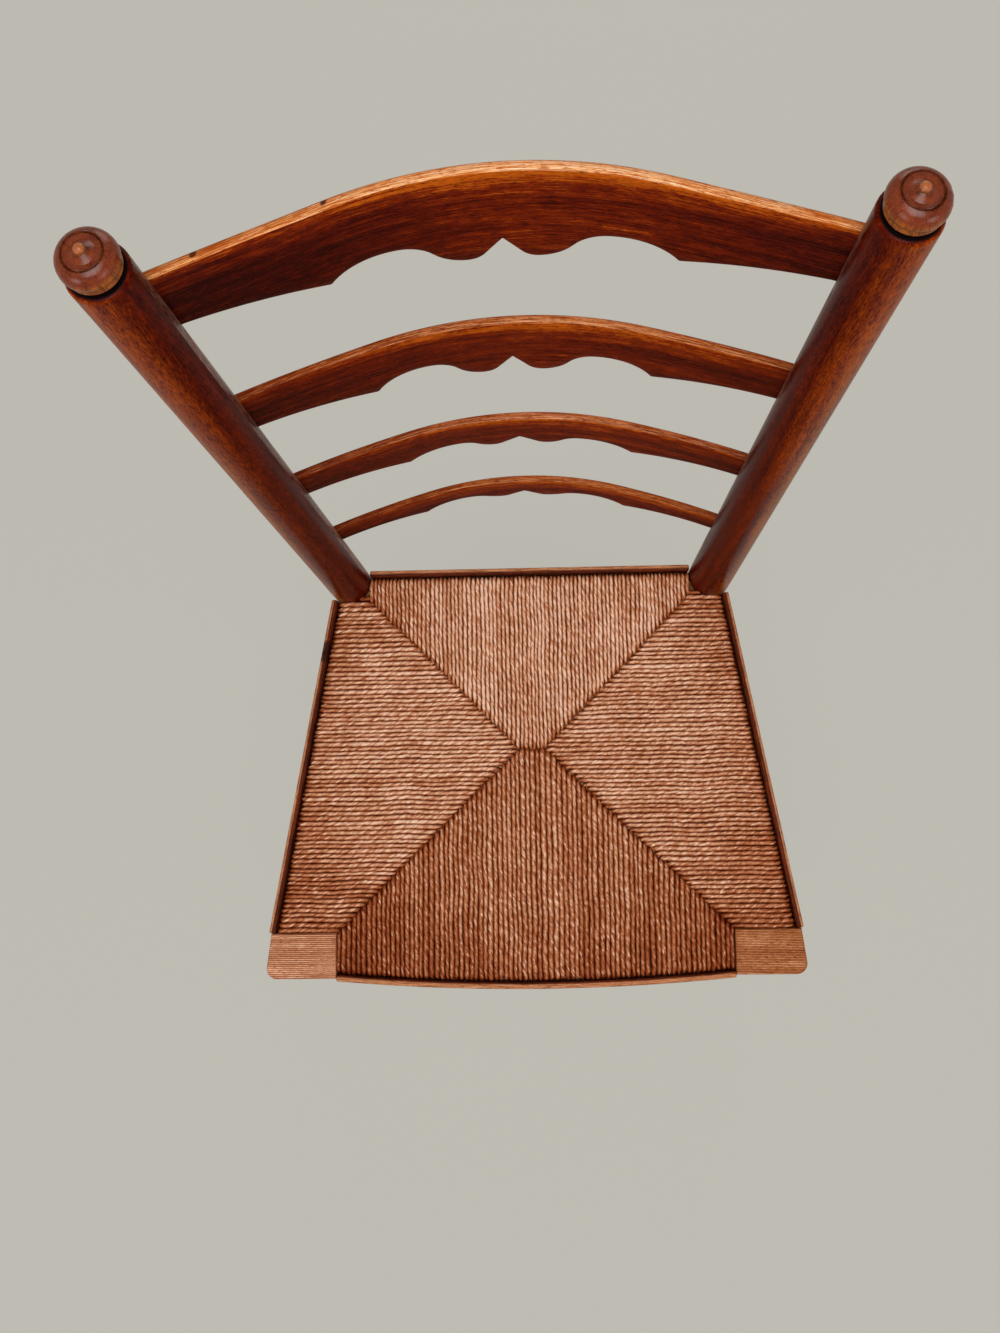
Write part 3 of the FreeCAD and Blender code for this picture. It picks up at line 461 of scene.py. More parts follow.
def make_post_oak(side, sign):
    """Oak of a back post, paler on its front side as painted light, most of all above the seat,
    with a painted sheen along its outer edges, a painted reflection along its inner back edge, and
    a polished finial."""
    upright = Euler((RAKE + sign * TWIST, -sign * SPLAY, 0))
    seed = sign * 0.31
    axis = upright.to_matrix().inverted() @ Vector((0, 0, 1))
    neck = seat_point(sign * POST_SPACING / 2, POST_SETBACK, 0) + axis * NECK_UP * MM
    # the same place where the pattern's own space has the post upright
    neck = upright.to_matrix() @ neck + Vector((seed, seed, seed))
    seat = neck.z - NECK_UP * MM
    wood = Oak(f"stained oak post {side}", POST_SHADES, "Z", tuple(upright), (0.8, 8), seed)
    wood.stain()
    above_seat = wood.rise(seat, -90, 10, 0.25)
    for direction, dark, light, facing, most, reach in (
        # painted light: the front side, where the light falls, paler
        ((sign * 0.55, -0.83, 0.0), "#6A1400", "#B44E00", (0.6, 1.4), 1.0, (-420, -80)),
        # painted sheen along the outer edge, lower down the post
        ((sign * 0.75, -0.66, 0.0), "#8A3A08", "#CA7C36", (1.05, 1.42), 0.6, (0, -280)),
        # painted reflection along the inner back edge
        ((-sign * 0.78, 0.62, 0.0), "#9A5A40", "#DCB09A", (1.2, 1.38), 0.45, (-900, -500)),
    ):
        height = wood.rise(neck.z, *reach, 0.15)
        wood.paint_light_on_side(direction, dark, light, facing, most, (height, above_seat))
    wood.open_pores()
    wood.polish_finial(neck)
    return wood.finish()


def make_slat_oak(number, bare, rub, marks):
    """Oak of a slat, bare on its upper edge and rubbed paler below it, with painted shade towards
    its ends.
    """
    wood = Oak(f"stained oak slat {number}", SLAT_SHADES, "lay", seed=0.2 * number)
    wood.rub_below_top(rub)
    wood.stain()
    wood.open_pores()
    wood.bare_top(bare, 2.5, -2.5, 0.5)
    for spot, radius in marks:
        wood.mark(spot, radius)
    return wood.finish()


def make_block_oak(side, shades, rings, roughness, seed):
    """Oak of a corner block, its stain worn off by use, so that the sawn grain shows."""
    wood = Oak(f"worn oak {side} block", shades, "X", streak=(0.5, 30), seed=seed)
    wood.draw_rings(rings)
    wood.stain()
    wood.open_pores()
    return wood.finish(roughness)


def make_strip_oak(side, start, end, marks):
    """Oak of a thin strip, bare on the outer half of its upper edge."""
    wood = Oak(f"worn oak strip {side}", STRIP_SHADES, "lay", seed=0.7)
    wood.stain()
    wood.open_pores()
    wood.bare_top(("#6A2C0C", "#B87044", "#D8986C"), start, end, 0.0)
    for spot, radius in marks:
        wood.mark(spot, radius)
    return wood.finish(0.42)


def rush_cord():
    """Rush, twisted damp into a hard cord and dried: satin blades, with painted shade on the cords'
    sides between them, in the seams, and where they bend round and under the rails."""
    material, tree = new_material("twisted rush")
    uv = add_node(tree, "ShaderNodeUVMap", uv_map="lay")
    tone = add_node(tree, "ShaderNodeAttribute", attribute_name="tone")
    sunk = add_node(tree, "ShaderNodeAttribute", attribute_name="sunk")
    parts = add_node(tree, "ShaderNodeSeparateXYZ", {"Vector": uv.outputs[0]})
    # the cord has two plies, so one of them shows every half turn
    along = add_node(
        tree, "ShaderNodeMath", {0: parts.outputs["X"], 1: 2 / PLY_TURN}, operation="MULTIPLY"
    )
    turn = add_node(
        tree, "ShaderNodeMath", {0: parts.outputs["Y"], 1: 2.0, 2: along.outputs[0]},
        operation="MULTIPLY_ADD",
    )
    lay = add_node(
        tree, "ShaderNodeCombineXYZ",
        {"X": turn.outputs[0], "Y": along.outputs[0], "Z": tone.outputs["Fac"]},
    )

    def blades(x, y, detail):
        drawn = add_node(
            tree, "ShaderNodeMapping", {"Vector": lay.outputs[0], "Scale": (x, y, 90.0)}
        )
        return add_node(
            tree, "ShaderNodeTexNoise",
            {"Vector": drawn.outputs[0], "Scale": 1.0, "Detail": detail, "Roughness": 0.65},
        ).outputs["Fac"]

    uneven = blades(0.6, 0.9, 1.0)
    shifted = add_node(
        tree, "ShaderNodeMath", {0: uneven, 1: 0.8, 2: turn.outputs[0]}, operation="MULTIPLY_ADD"
    )
    phase = add_node(tree, "ShaderNodeMath", {0: shifted.outputs[0]}, operation="FRACT")
    arch = add_node(tree, "ShaderNodeMath", {0: phase.outputs[0], 1: math.pi}, operation="MULTIPLY")
    ply = add_node(tree, "ShaderNodeMath", {0: arch.outputs[0]}, operation="SINE").outputs[0]
    fibre = blades(6.0, 1.1, 3.0)
    hair = blades(14.0, 2.4, 2.0)
    round_cord = add_node(
        tree, "ShaderNodeMath", {0: parts.outputs["Y"], 1: 2 * math.pi}, operation="MULTIPLY"
    )
    side = add_node(tree, "ShaderNodeMath", {0: round_cord.outputs[0]}, operation="SINE")
    flank = add_node(
        tree, "ShaderNodeMath", {0: side.outputs[0], 1: side.outputs[0]}, operation="MULTIPLY"
    ).outputs[0]
    place = add_node(tree, "ShaderNodeTexCoord")
    patch = add_node(
        tree, "ShaderNodeTexNoise",
        {"Vector": place.outputs["Object"], "Scale": 1 / (30 * MM), "Detail": 4.0},
    ).outputs["Fac"]
    light_dash = add_node(
        tree, "ShaderNodeMapRange", {"Value": fibre, "From Min": 0.56, "From Max": 0.68},
    ).outputs[0]
    nick = add_node(
        tree, "ShaderNodeMapRange", {"Value": hair, "From Min": 0.44, "From Max": 0.34},
    ).outputs[0]
    middle = seat_point(0, SEAM_Y, 0)
    corner = add_node(
        tree, "ShaderNodeVectorMath", {0: place.outputs["Object"], 1: middle}, operation="DISTANCE"
    )
    corner = add_node(
        tree, "ShaderNodeMapRange",
        {"Value": corner.outputs["Value"], "From Min": 0.14, "From Max": 0.28},
        interpolation_type="SMOOTHSTEP",
    ).outputs[0]
    level = -0.37
    # painted shade: flank darkens the cords' sides between them, sunk the seams and the cords round
    # and under the rails
    for value, weight in (
        (fibre, 1.0), (hair, 0.85), (ply, 0.16), (patch, 0.3), (tone.outputs["Fac"], 0.14),
        (flank, -0.55), (sunk.outputs["Fac"], -0.4), (light_dash, 0.22), (nick, -0.26),
        (corner, -0.22),
    ):
        level = add_node(
            tree, "ShaderNodeMath", {0: value, 1: weight, 2: level}, operation="MULTIPLY_ADD"
        ).outputs[0]
    shade = add_node(
        tree, "ShaderNodeValToRGB", {"Fac": level},
        stops=[(0.05, "#4E1404"), (0.36, "#863A14"), (0.6, "#AC623A"), (0.8, "#D2926A"),
               (1.0, "#FAD2B6")],
    )
    height = add_node(tree, "ShaderNodeMath", {0: fibre, 1: ply}, operation="ADD")
    bump = add_node(
        tree, "ShaderNodeBump",
        {"Height": height.outputs[0], "Strength": 0.6, "Distance": 0.5 * MM},
    )
    finish_material(
        tree,
        {"Base Color": shade.outputs["Color"], "Roughness": 0.5, "Normal": bump.outputs[0],
         "IOR": 1.45, "Specular IOR Level": 0.1},
    )
    return material


PAPER = "#C1BEB5"


def seen_directly(tree):
    """1 for what the camera or a reflection sees, 0 for what only lights other things."""
    ray = add_node(tree, "ShaderNodeLightPath")
    return add_node(
        tree, "ShaderNodeMath",
        {0: ray.outputs["Is Camera Ray"], 1: ray.outputs["Is Glossy Ray"]}, operation="ADD",
    ).outputs[0]


def pale_floor():
    """Matt paper backdrop, warm grey, lit from behind so that shadows on it stay faint."""
    material, tree = new_material("matt backdrop paper")
    shade = colour(PAPER)
    matt = add_node(tree, "ShaderNodeBsdfDiffuse", {"Color": shade})
    glow = add_node(tree, "ShaderNodeEmission", {"Color": shade, "Strength": 1.0})
    seen = seen_directly(tree)
    part = add_node(tree, "ShaderNodeMath", {0: seen, 1: 0.85}, operation="MULTIPLY")
    mix = add_node(
        tree, "ShaderNodeMixShader",
        {0: part.outputs[0], 1: matt.outputs[0], 2: glow.outputs[0]},
    )
    add_node(tree, "ShaderNodeOutputMaterial", {"Surface": mix.outputs[0]})
    return material


def dull_steel():
    """Plain steel wire, dulled by handling."""
    material, tree = new_material("dull steel")
    finish_material(tree, {"Base Color": colour("#8A847C"), "Metallic": 1.0, "Roughness": 0.45})
    return material


POST_SHADES = ("#2C0000", "#4E0A00", "#6E1A00", "#8E3402")
SLAT_SHADES = ("#2A0000", "#5E1000", "#8E2C00", "#C25A0C")
BLOCK_SHADES = ("#84462A", "#CC8A62", "#E6A880", "#F8C4A0")
DARK_BLOCK_SHADES = ("#722E10", "#AE6836", "#D08C58", "#E8AA7E")
STRIP_SHADES = ("#220602", "#4A1806", "#742E12", "#9A5026")
BARE_SHADES = ("#4A2E16", "#6A4826", "#84603A", "#9A764C")

post_oak = {side: make_post_oak(side, sign) for side, sign in (("left", -1), ("right", 1))}
turned_oak = plain_oak("stained oak legs", POST_SHADES, "Z")
cross_oak = plain_oak("stained oak cross stretchers", POST_SHADES, "X")
deep_oak = plain_oak("stained oak side stretchers", POST_SHADES, "Y")
slat_oak = {
    1: make_slat_oak(
        1, ("#B0521A", "#EEA45E", "#FFDCB4"), 0.8, (((-157, 0, 1), 2.4), ((-88, 0, 1), 2))
    ),
    2: make_slat_oak(2, ("#6A2408", "#B0602A", "#E4A070"), 0.6, ()),
    3: make_slat_oak(3, ("#5A1C06", "#A05024", "#DC9468"), 0.6, ()),
    4: make_slat_oak(4, ("#5A1C06", "#984818", "#D48854"), 0.5, ()),
}
block_oak = {
    "left": make_block_oak("left", BLOCK_SHADES, 1.8, 0.45, 0.0),
    "right": make_block_oak("right", DARK_BLOCK_SHADES, 1.5, 0.4, 0.5),
}
strip_oak = {
    "front": make_strip_oak("front", 1.8, 0.6, ()),
    "back": make_strip_oak("back", -0.8, 0.6, ()),
    "right": make_strip_oak("right", -0.1, -1.1, ()),
    "left": make_strip_oak("left", 0.1, 1.1, (((272, 0, 0), 9), ((264, 0, 0), 7))),
}
bare_oak = plain_oak("bare oak rails", BARE_SHADES, "X", 0.6)
rush = rush_cord()
steel = dull_steel()

CAD_FINISH = {
    "back_post_left": post_oak["left"], "back_post_right": post_oak["right"],
    "front_leg_left": turned_oak, "front_leg_right": turned_oak,
    "front_stretcher_upper": cross_oak, "front_stretcher_lower": cross_oak,
    "back_stretcher": cross_oak,
    "left_side_stretcher_upper": deep_oak, "left_side_stretcher_lower": deep_oak,
    "right_side_stretcher_upper": deep_oak, "right_side_stretcher_lower": deep_oak,
    "corner_block_left": block_oak["left"], "corner_block_right": block_oak["right"],
    "front_seat_rail": bare_oak, "back_seat_rail": bare_oak,
    "left_seat_rail": bare_oak, "right_seat_rail": bare_oak,
    "slat_pegs": bare_oak, "seat_stuffing": rush, "strip_pins": steel,
}
for name, material in CAD_FINISH.items():
    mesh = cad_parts[name].data
    mesh.materials.clear()
    mesh.materials.append(material)


# Boards: slats and strips

def board(name, columns, low, high, depth, thickness, rounding, material, place):
    """Bent board: a grid is drawn out to its outline, thickened and rounded.
    columns are distances along it, low and high its edges, depth its bend."""
    bpy.ops.object.select_all(action="DESELECT")
    rows = 6
    bpy.ops.mesh.primitive_grid_add(x_subdivisions=len(columns) - 1, y_subdivisions=rows, size=2)
    piece = bpy.context.active_object
    piece.name = name
    mesh = piece.data
    mesh.name = name
    order = sorted(mesh.vertices, key=lambda v: (round(v.co.x, 5), v.co.y))
    for i, vertex in enumerate(order):
        x = columns[i // (rows + 1)]
        share = (i % (rows + 1)) / rows
        up = low(x) + share * (high(x) - low(x))
        vertex.co = place @ Vector((x, depth(x), up))
    wall = piece.modifiers.new("thickness", "SOLIDIFY")
    wall.thickness = thickness * MM
    wall.offset = 0
    wall.use_even_offset = True
    bpy.ops.object.modifier_apply(modifier=wall.name)
    edge = piece.modifiers.new("rounding", "BEVEL")
    edge.width = rounding * MM
    edge.segments = 3
    edge.limit_method = "ANGLE"
    edge.angle_limit = math.radians(50)
    edge.use_clamp_overlap = True
    bpy.ops.object.modifier_apply(modifier=edge.name)
    bpy.ops.object.mode_set(mode="EDIT")
    bpy.ops.mesh.select_all(action="SELECT")
    bpy.ops.mesh.normals_make_consistent(inside=False)
    bpy.ops.object.mode_set(mode="OBJECT")
    bpy.ops.object.shade_smooth_by_angle(angle=math.radians(32))
    # lay: distance along the board, down from its top edge, and through it, for the grain
    lay = mesh.attributes.new("lay", "FLOAT_VECTOR", "POINT")
    back = place.inverted()
    for vertex, item in zip(mesh.vertices, lay.data):
        x, y, z = back @ vertex.co
        x = min(max(x, columns[0]), columns[-1])
        item.vector = Vector((x, z - high(x), y - depth(x))) * MM
    mesh.materials.clear()
    mesh.materials.append(material)
    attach(piece, "root")
    return piece


def hump(x, flat_x, flat_z, end_x, end_z):
    """Height on the arc that is level at its first point and runs to its second."""
    rise = end_z - flat_z
    radius = ((end_x - flat_x) ** 2 + rise ** 2) / (2 * abs(rise))
    return flat_z + math.copysign(radius - math.sqrt(radius ** 2 - (x - flat_x) ** 2), rise)


SLATS = {
    # how high the top line lies; from it, the ends down, the crest up, and the cusp, arch, lobe
    # and notch down; how far the cusp, arch and lobe lie from the middle
    1: (570.3, 51.6, 22.5, 60.6, 40.3, 59.8, 40.6, 97, 57, 20),
    2: (413.4, 45.2, 19.9, 50.9, 28.4, 47.3, 27.3, 92, 53.5, 20),
    3: (264.3, 36.3, 19.1, 38.2, 20, 28.7, 16, 86.5, 44.5, 20.5),
    4: (127.6, 26.7, 21.6, 25.2, 7.4, 13, 2.5, 86.3, 45.5, 19.3),
}
SLAT_SETBACK, SLAT_BOW, SLAT_THICKNESS = 8, 37.7, 6
SLAT_PAST_AXIS, SLAT_SHOULDER, LOBE_RADIUS, LOBE_TURN = 4, 16, 12, 1.15

back_matrix = (
    Matrix.Translation(seat_point(0, POST_SETBACK, 0))
    @ Matrix.Rotation(-RAKE, 4, "X")
    @ Matrix.Scale(MM, 4)
)


def slat(number):
    top, end, crest, cusp, arch, lobe, notch, cusp_x, arch_x, lobe_x = SLATS[number]
    middle = top - end / 2
    half = POST_SPACING / 2 + math.tan(SPLAY) * middle
    turned = math.atan(math.tan(TWIST) * middle / half)
    half /= math.cos(turned)
    radius = (half ** 2 + SLAT_BOW ** 2) / (2 * SLAT_BOW)
    reach = half + SLAT_PAST_AXIS
    square = half - SLAT_SHOULDER
    turn = LOBE_TURN * math.atan((lobe - notch) / lobe_x)
    lobe_in = lobe_x - LOBE_RADIUS * math.sin(turn)
    lobe_up = -lobe + LOBE_RADIUS * (1 - math.cos(turn))
    middle_x, middle_z = (lobe_x + arch_x) / 2, -(arch + lobe) / 2

    def low(x):
        x = abs(x)
        if x <= lobe_in:
            return -notch + (lobe_up + notch) * x / lobe_in
        if x <= lobe_x:
            return hump(x, lobe_x, -lobe, lobe_in, lobe_up)
        if x <= middle_x:
            return hump(x, lobe_x, -lobe, middle_x, middle_z)
        if x <= arch_x:
            return hump(x, arch_x, -arch, middle_x, middle_z)
        if x <= cusp_x:
            return hump(x, arch_x, -arch, cusp_x, -cusp)
        if x <= square:
            return -cusp + (cusp - end) * (x - cusp_x) / (square - cusp_x)
        return -end

    def high(x):
        x = abs(x)
        if x <= square / 2:
            return hump(x, 0, crest, square / 2, crest / 2)
        if x <= square:
            return hump(x, square, 0, square / 2, crest / 2)
        return 0

    def depth(x):
        return SLAT_SETBACK + SLAT_BOW - radius + math.sqrt(radius ** 2 - x ** 2)

    marks = [0, lobe_in, lobe_x, middle_x, arch_x, cusp_x, square, reach]
    steps = [5, 6, 8, 8, 14, 12, 4]
    right = [0.0]
    for a, b, count in zip(marks, marks[1:], steps):
        right += [a + (b - a) * i / count for i in range(1, count + 1)]
    columns = [-x for x in reversed(right[1:])] + right
    place = back_matrix @ Matrix.Translation((0, 0, top)) @ Matrix.Rotation(turned, 4, "Z")
    piece = board(
        f"worn_slat_{number}", columns, low, high, depth, SLAT_THICKNESS, 1.9,
        slat_oak[number], place,
    )
    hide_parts(f"slat_{number}")


for number in SLATS:
    slat(number)


# Rush: cords wound over the rails, in four triangles that meet on the diagonals

BLOCK_IN, BLOCK_BACK = 185, 41.3
POST_FRONT = 354                 # where the side cords stop, in front of the posts
POST_INNER = 153.2               # half of the way between the posts
SEAM_AT_POST = 151.5             # where the back diagonals reach the posts
RUSH_TOP, RUSH_BOTTOM = -1, -31
RUSH_DIP, DIP_REACH = 5, 216     # how deep the middle lies, and how far from the edge
SEAM_DIP, SEAM_REACH = 2.3, 6    # how deep the cords' ends dive, and over which length
EDGE_ROUND, ROUND_STEPS = 8, 5
TOP_STEP, UNDER_STEP = 3.2, 7    # from ring to ring along a cord, above and below
# how sunk a cord is, its share of painted shade: on the rails' faces and below them
FACE_SUNK, UNDER_SUNK = 0.8, 0.5    # on the faces and below, from 0 on top to 1 in a seam
STRIP, TOUCH = 6, 0.3            # strips' thickness and the gap behind them
RUSH_OUT = STRIP + TOUCH
FRONT_BOW, FRONT_PROUD = 8.7, 2.4    # front edge's bow, and how far it stands off the blocks
BACK_FACE = POST_SETBACK + 9.9   # back strip's outer face
SIDE_START_X, SIDE_END_X = 248.2, 186.2    # the sides, at the blocks' backs and by the posts
FRONT_CORDS, BACK_CORDS, SIDE_CORDS = 80, 79, 72
CORD_SPREAD = 0.16               # how much wider or narrower than the mean a cord can be
CORD_PRESSED = 0.53              # its radius over its width, as neighbours press together
CORD_SIDES = 8
# The cord squeezed in by each post: its radius, how far behind the others, and its hidden ends
LAST_CORD, LAST_BEHIND, LAST_HIDDEN = 2.2, 2.6, 3
POST_RADIUS = 20
ACROSS, BACKWARDS = Vector((1, 0, 0)), Vector((0, 1, 0))
front_radius = (BLOCK_IN ** 2 + FRONT_BOW ** 2) / (2 * FRONT_BOW)
side_slope = (SIDE_END_X - SIDE_START_X) / (POST_SETBACK - BLOCK_BACK)


def front_line(inset, x):
    centre = -FRONT_PROUD - FRONT_BOW + front_radius
    return centre - math.sqrt((front_radius - inset) ** 2 - x * x)


def side_line(inset, y):
    return SIDE_START_X + side_slope * (y - BLOCK_BACK) - inset * math.hypot(1, side_slope)


def diagonal_y(x, corner_x, corner_y):
    """Where a front or back cord at x ends: on the diagonal or the middle seam."""
    share = max(0.0, (abs(x) - SEAM_HALF) / (corner_x - SEAM_HALF))
    return SEAM_Y + (corner_y - SEAM_Y) * min(share, 1.0)


def diagonal_x(y):
    """Where a side cord at y ends."""
    if y < SEAM_Y:
        share = (SEAM_Y - y) / (SEAM_Y - BLOCK_BACK)
        return SEAM_HALF + (BLOCK_IN - SEAM_HALF) * share
    share = (y - SEAM_Y) / (POST_FRONT - SEAM_Y)
    return SEAM_HALF + (SEAM_AT_POST - SEAM_HALF) * share


def loop_profile(length, cord):
    """Path of one cord in its own plane: out along the top, round the rail and back below.
    Points are (distance in from the edge, height, how sunk), from the upper seam to the lower. How
    sunk a point is sets its share of painted shade."""
    top, bottom = RUSH_TOP - cord, RUSH_BOTTOM + cord
    bend = EDGE_ROUND - cord
    points = []
    steps = max(3, int(length / TOP_STEP))
    for i in range(steps + 1):
        inward = length - (length - EDGE_ROUND) * i / steps
        dip = RUSH_DIP * inward / DIP_REACH
        seam = max(0.0, 1 - (length - inward) / SEAM_REACH)
        points.append((inward, top - dip - SEAM_DIP * seam ** 2, seam))
    for i in range(1, ROUND_STEPS + 1):
        angle = math.pi / 2 * i / ROUND_STEPS
        points.append(
            (EDGE_ROUND - bend * math.sin(angle), top - bend + bend * math.cos(angle),
             math.sin(angle) ** 2)
        )
    points.append((cord, (top + bottom) / 2, FACE_SUNK))
    for i in range(ROUND_STEPS):
        angle = math.pi / 2 * i / (ROUND_STEPS - 1)
        points.append(
            (EDGE_ROUND - bend * math.cos(angle), bottom + bend - bend * math.sin(angle),
             UNDER_SUNK)
        )
    steps = max(2, int(length / UNDER_STEP))
    for i in range(1, steps + 1):
        inward = EDGE_ROUND + (length - EDGE_ROUND) * i / steps
        seam = max(0.0, 1 - (length - inward) / SEAM_REACH)
        points.append((inward, bottom + SEAM_DIP * seam ** 2, seam))
    return points


def cord_rings(cord, spots, side, seed, tone, lay, wave):
    """Rings of points round a cord, each with the length run so far and how sunk it is there.
    The cord sways, swells and shows its two plies."""
    run = 0.0
    for i, (point, sunk) in enumerate(spots):
        before, after = spots[max(i - 1, 0)][0], spots[min(i + 1, len(spots) - 1)][0]
        ahead = (after - before).normalized()
        if i:
            run += (point - before).length
        across = ahead.cross(side).normalized()
        other = ahead.cross(across)
        drift = noise.noise(Vector((point.x / 34, point.y / 34, seed)))
        sway = 0.1 * math.sin(run / 23 + wave[0]) + 0.12 * math.sin(run / 9 + wave[1])
        sway += 1.2 * drift * (1 - sunk)
        hop = 0.3 * math.sin(run / 17 + wave[2])
        swell = 0.16 * noise.noise(Vector((run / 9, tone * 40, seed)))
        middle = point + other * sway + across * hop
        ring = []
        for k in range(CORD_SIDES):
            angle = 2 * math.pi * k / CORD_SIDES
            ply = math.cos(2 * (angle + 2 * math.pi * (run + lay) / PLY_TURN))
            reach = cord * (1 + 0.08 * ply + swell)
            spot = middle + (across * math.cos(angle) + other * math.sin(angle)) * reach
            ring.append(seat_point(*spot))
        yield run, sunk, ring


def wind(name, cords, side, seed, light):
    """One triangle of rush. Each cord is a radius and a path of places and how sunk they are,
    light the cords' mean tone. The UV map "lay" is mm along a cord and turns round it."""
    rng = random.Random(seed)
    verts, faces, uvs, tones, depths = [], [], [], [], []
    for cord, spots in cords:
        tone = light + rng.uniform(-0.5, 0.5)
        lay = rng.uniform(0, 20)
        wave = [rng.uniform(0, 6.28) for _ in range(3)]
        first = len(verts)
        last_run = 0.0
        for run, sunk, ring in cord_rings(cord, spots, side, seed, tone, lay, wave):
            here = len(verts)
            behind = here - CORD_SIDES
            verts += ring
            tones += [tone] * CORD_SIDES
            depths += [sunk] * CORD_SIDES
            if here > first:
                u0, u1 = last_run + lay, run + lay
                for k in range(CORD_SIDES):
                    n = (k + 1) % CORD_SIDES
                    v0, v1 = k / CORD_SIDES, (k + 1) / CORD_SIDES
                    faces.append((behind + k, behind + n, here + n, here + k))
                    uvs += [(u0, v0), (u0, v1), (u1, v1), (u1, v0)]
            last_run = run
        # close both ends
        for start, order in ((first, reversed(range(CORD_SIDES))), (here, range(CORD_SIDES))):
            faces.append(tuple(start + k for k in order))
            uvs += [(0.0, 0.0)] * CORD_SIDES
    mesh = bpy.data.meshes.new(name)
    mesh.from_pydata(verts, [], faces)
    layer = mesh.uv_layers.new(name="lay")
    for loop, uv in zip(layer.data, uvs):
        loop.uv = uv
    for title, values in (("tone", tones), ("sunk", depths)):
        attribute = mesh.attributes.new(title, "FLOAT", "POINT")
        attribute.data.foreach_set("value", values)
    mesh.materials.append(rush)
    mesh.polygons.foreach_set("use_smooth", [True] * len(mesh.polygons))
    mesh.update()
    piece = bpy.data.objects.new(name, mesh)
    bpy.context.scene.collection.objects.link(piece)
    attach(piece, "root")
    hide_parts("rush_seat")


def shares(first, last, count, seed):
    """Uneven widths that fill a length: (middle, radius) of each cord."""
    rng = random.Random(seed)
    widths = [rng.uniform(1 - CORD_SPREAD, 1 + CORD_SPREAD) for _ in range(count)]
    scale = (last - first) / sum(widths)
    for width in widths:
        yield first + width * scale / 2, width * scale * CORD_PRESSED
        first += width * scale


def front_cords():
    for x, cord in shares(-BLOCK_IN + TOUCH, BLOCK_IN - TOUCH, FRONT_CORDS, 21):
        edge = front_line(RUSH_OUT, x)
        length = diagonal_y(x, BLOCK_IN, BLOCK_BACK) - edge
        yield cord, [(Vector((x, edge + d, z)), s) for d, z, s in loop_profile(length, cord)]


def back_cords():
    edge = BACK_FACE - RUSH_OUT
    for x, cord in shares(-POST_INNER, POST_INNER, BACK_CORDS, 22):
        length = edge - diagonal_y(x, SEAM_AT_POST, POST_FRONT)
        yield cord, [(Vector((x, edge - d, z)), s) for d, z, s in loop_profile(length, cord)]


def side_cords(side):
    for y, cord in shares(BLOCK_BACK + TOUCH, POST_FRONT, SIDE_CORDS, 24 + side):
        edge = side_line(RUSH_OUT, y)
        length = edge - diagonal_x(y)
        profile = loop_profile(length, cord)
        yield cord, [(Vector((side * (edge - d), y, z)), s) for d, z, s in profile]
    # the last cord is squeezed round the post
    y = POST_FRONT + LAST_BEHIND
    post = POST_SPACING / 2 - math.sqrt(POST_RADIUS ** 2 - (POST_SETBACK - y) ** 2)
    edge = post + LAST_HIDDEN
    profile = loop_profile(edge - diagonal_x(y) + LAST_HIDDEN, LAST_CORD)
    path = [(Vector((side * (edge - d), y, z)), max(s, UNDER_SUNK)) for d, z, s in profile]
    yield LAST_CORD, path


wind("front_cords", front_cords(), ACROSS, 11, -0.55)
wind("back_cords", back_cords(), ACROSS, 12, 0.75)
wind("left_cords", side_cords(-1), BACKWARDS, 13, 0.5)
wind("right_cords", side_cords(1), BACKWARDS, 14, 0.45)


# Strips round the seat

def even_columns(first, last, count):
    return [first + (last - first) * i / count for i in range(count + 1)]


STRIP_TOP, STRIP_BOTTOM = -0.3, -28.3
STRIP_WEAR, WEAR_LENGTH = 0.25, 31    # hollows in the worn upper edges: depth, length over pi
SIDE_STRIP_START = TOUCH + 0.2        # side strips start this far behind the blocks
SIDE_STRIP_STOP = 17.5                # and end this far in front of the posts' axes
to_seat = Matrix.Translation(seat_point(0, 0, 0)) @ Matrix.Scale(MM, 4)


def strip(side, first, last, depth, place):
    """Thin strip, nailed on edge round the seat, its upper corners rubbed round."""
    piece = board(
        f"worn_edge_strip_{side}", even_columns(first, last, 60), lambda x: STRIP_BOTTOM,
        lambda x: STRIP_TOP - STRIP_WEAR * math.sin(x / WEAR_LENGTH) ** 2, depth, STRIP, 1.5,
        strip_oak[side], place,
    )
    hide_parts(f"edge_strip_{side}")


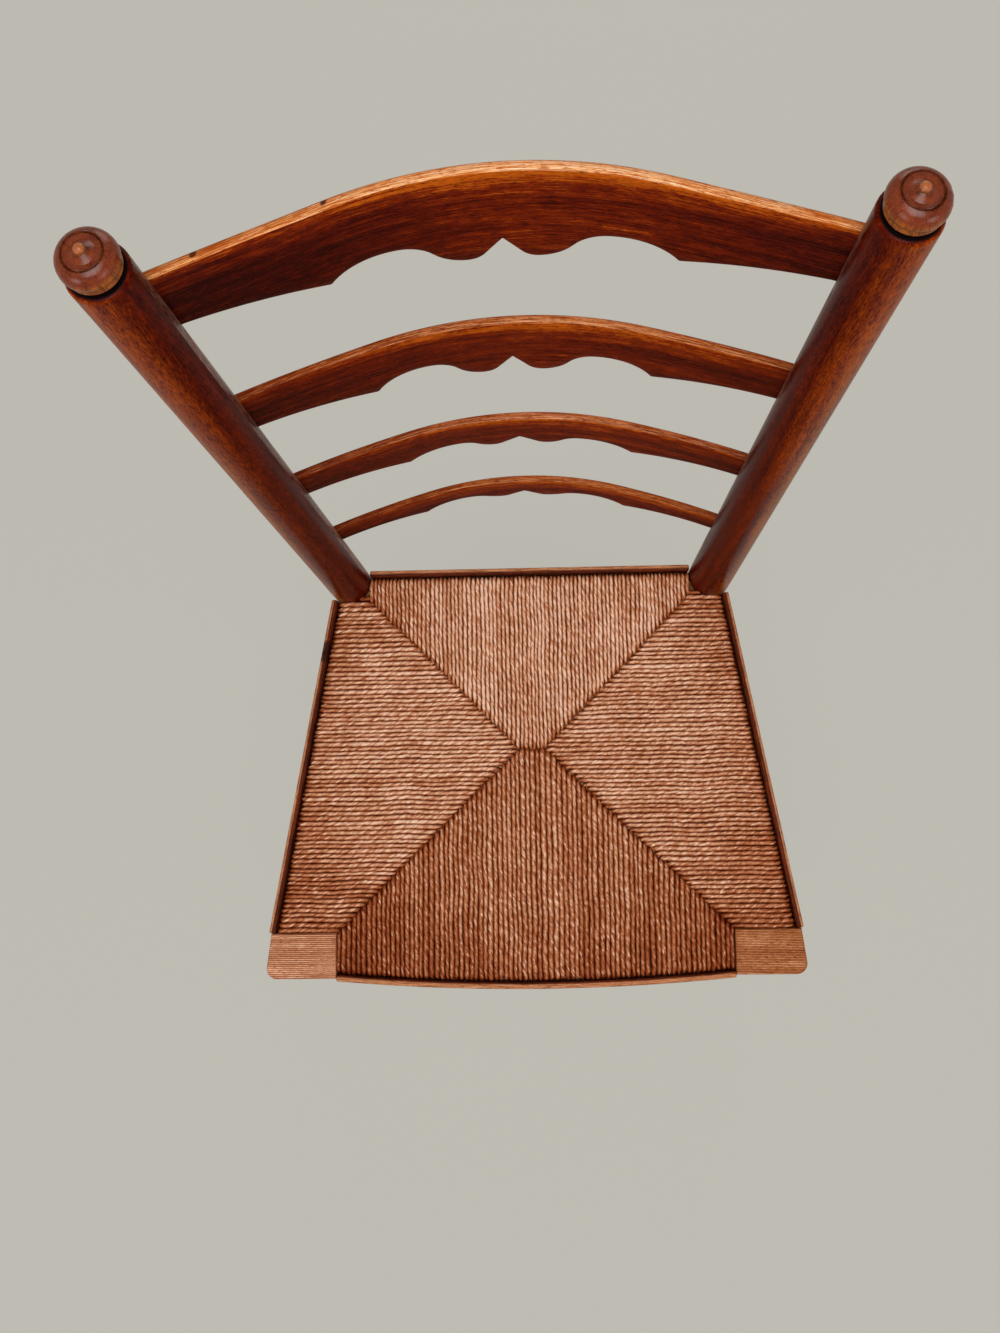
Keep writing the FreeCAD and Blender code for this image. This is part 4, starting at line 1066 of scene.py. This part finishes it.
strip("front", -BLOCK_IN + TOUCH, BLOCK_IN - TOUCH,
      lambda x: front_line(STRIP / 2, x), to_seat)
strip("back", -POST_INNER + TOUCH, POST_INNER - TOUCH,
      lambda x: BACK_FACE - STRIP / 2, to_seat)
for side, name in ((-1, "left"), (1, "right")):
    near, far = BLOCK_BACK + SIDE_STRIP_START, POST_SETBACK - SIDE_STRIP_STOP
    start = Vector((side * side_line(STRIP / 2, near), near, 0))
    end = Vector((side * side_line(STRIP / 2, far), far, 0))
    run = (end - start).normalized()
    place = to_seat @ Matrix.Translation(start) @ Matrix.Rotation(math.atan2(run.y, run.x), 4, "Z")
    strip(name, 0, (end - start).length, lambda x: 0, place)


# Floor and light

def make_floor():
    bpy.ops.object.select_all(action="DESELECT")
    bpy.ops.mesh.primitive_plane_add(size=60, location=(0, 0, 0))
    floor = bpy.context.active_object
    floor.name = "floor"
    floor.data.materials.append(pale_floor())


def lamp(name, place, aim, size, power):
    data = bpy.data.lights.new(name, "AREA")
    data.shape = "SQUARE"
    data.size = size
    data.energy = power
    light = bpy.data.objects.new(name, data)
    bpy.context.scene.collection.objects.link(light)
    light.location = place
    light.rotation_euler = (Vector(aim) - Vector(place)).to_track_quat("-Z", "Y").to_euler()


def make_world():
    world = bpy.data.worlds.new("studio")
    world.use_nodes = True
    tree = world.node_tree
    tree.nodes.clear()
    light = add_node(tree, "ShaderNodeBackground", {"Color": colour("#F4F4F2"), "Strength": 0.28})
    paper = add_node(tree, "ShaderNodeBackground", {"Color": colour(PAPER), "Strength": 1.0})
    mix = add_node(
        tree, "ShaderNodeMixShader",
        {0: seen_directly(tree), 1: light.outputs[0], 2: paper.outputs[0]},
    )
    add_node(tree, "ShaderNodeOutputWorld", {"Surface": mix.outputs[0]})
    bpy.context.scene.world = world


make_floor()
make_world()
lamp("overhead", (0.0, -0.5, 3.0), (0, 0, 0.5), 1.5, 38)
lamp("left front", (-2.0, -2.0, 1.9), (0, 0, 0.7), 1.2, 17)
lamp("right front", (2.2, -1.9, 1.9), (0, 0, 0.7), 1.2, 15)
lamp("back", (0.3, 2.4, 1.5), (0, 0, 0.6), 1.2, 9)
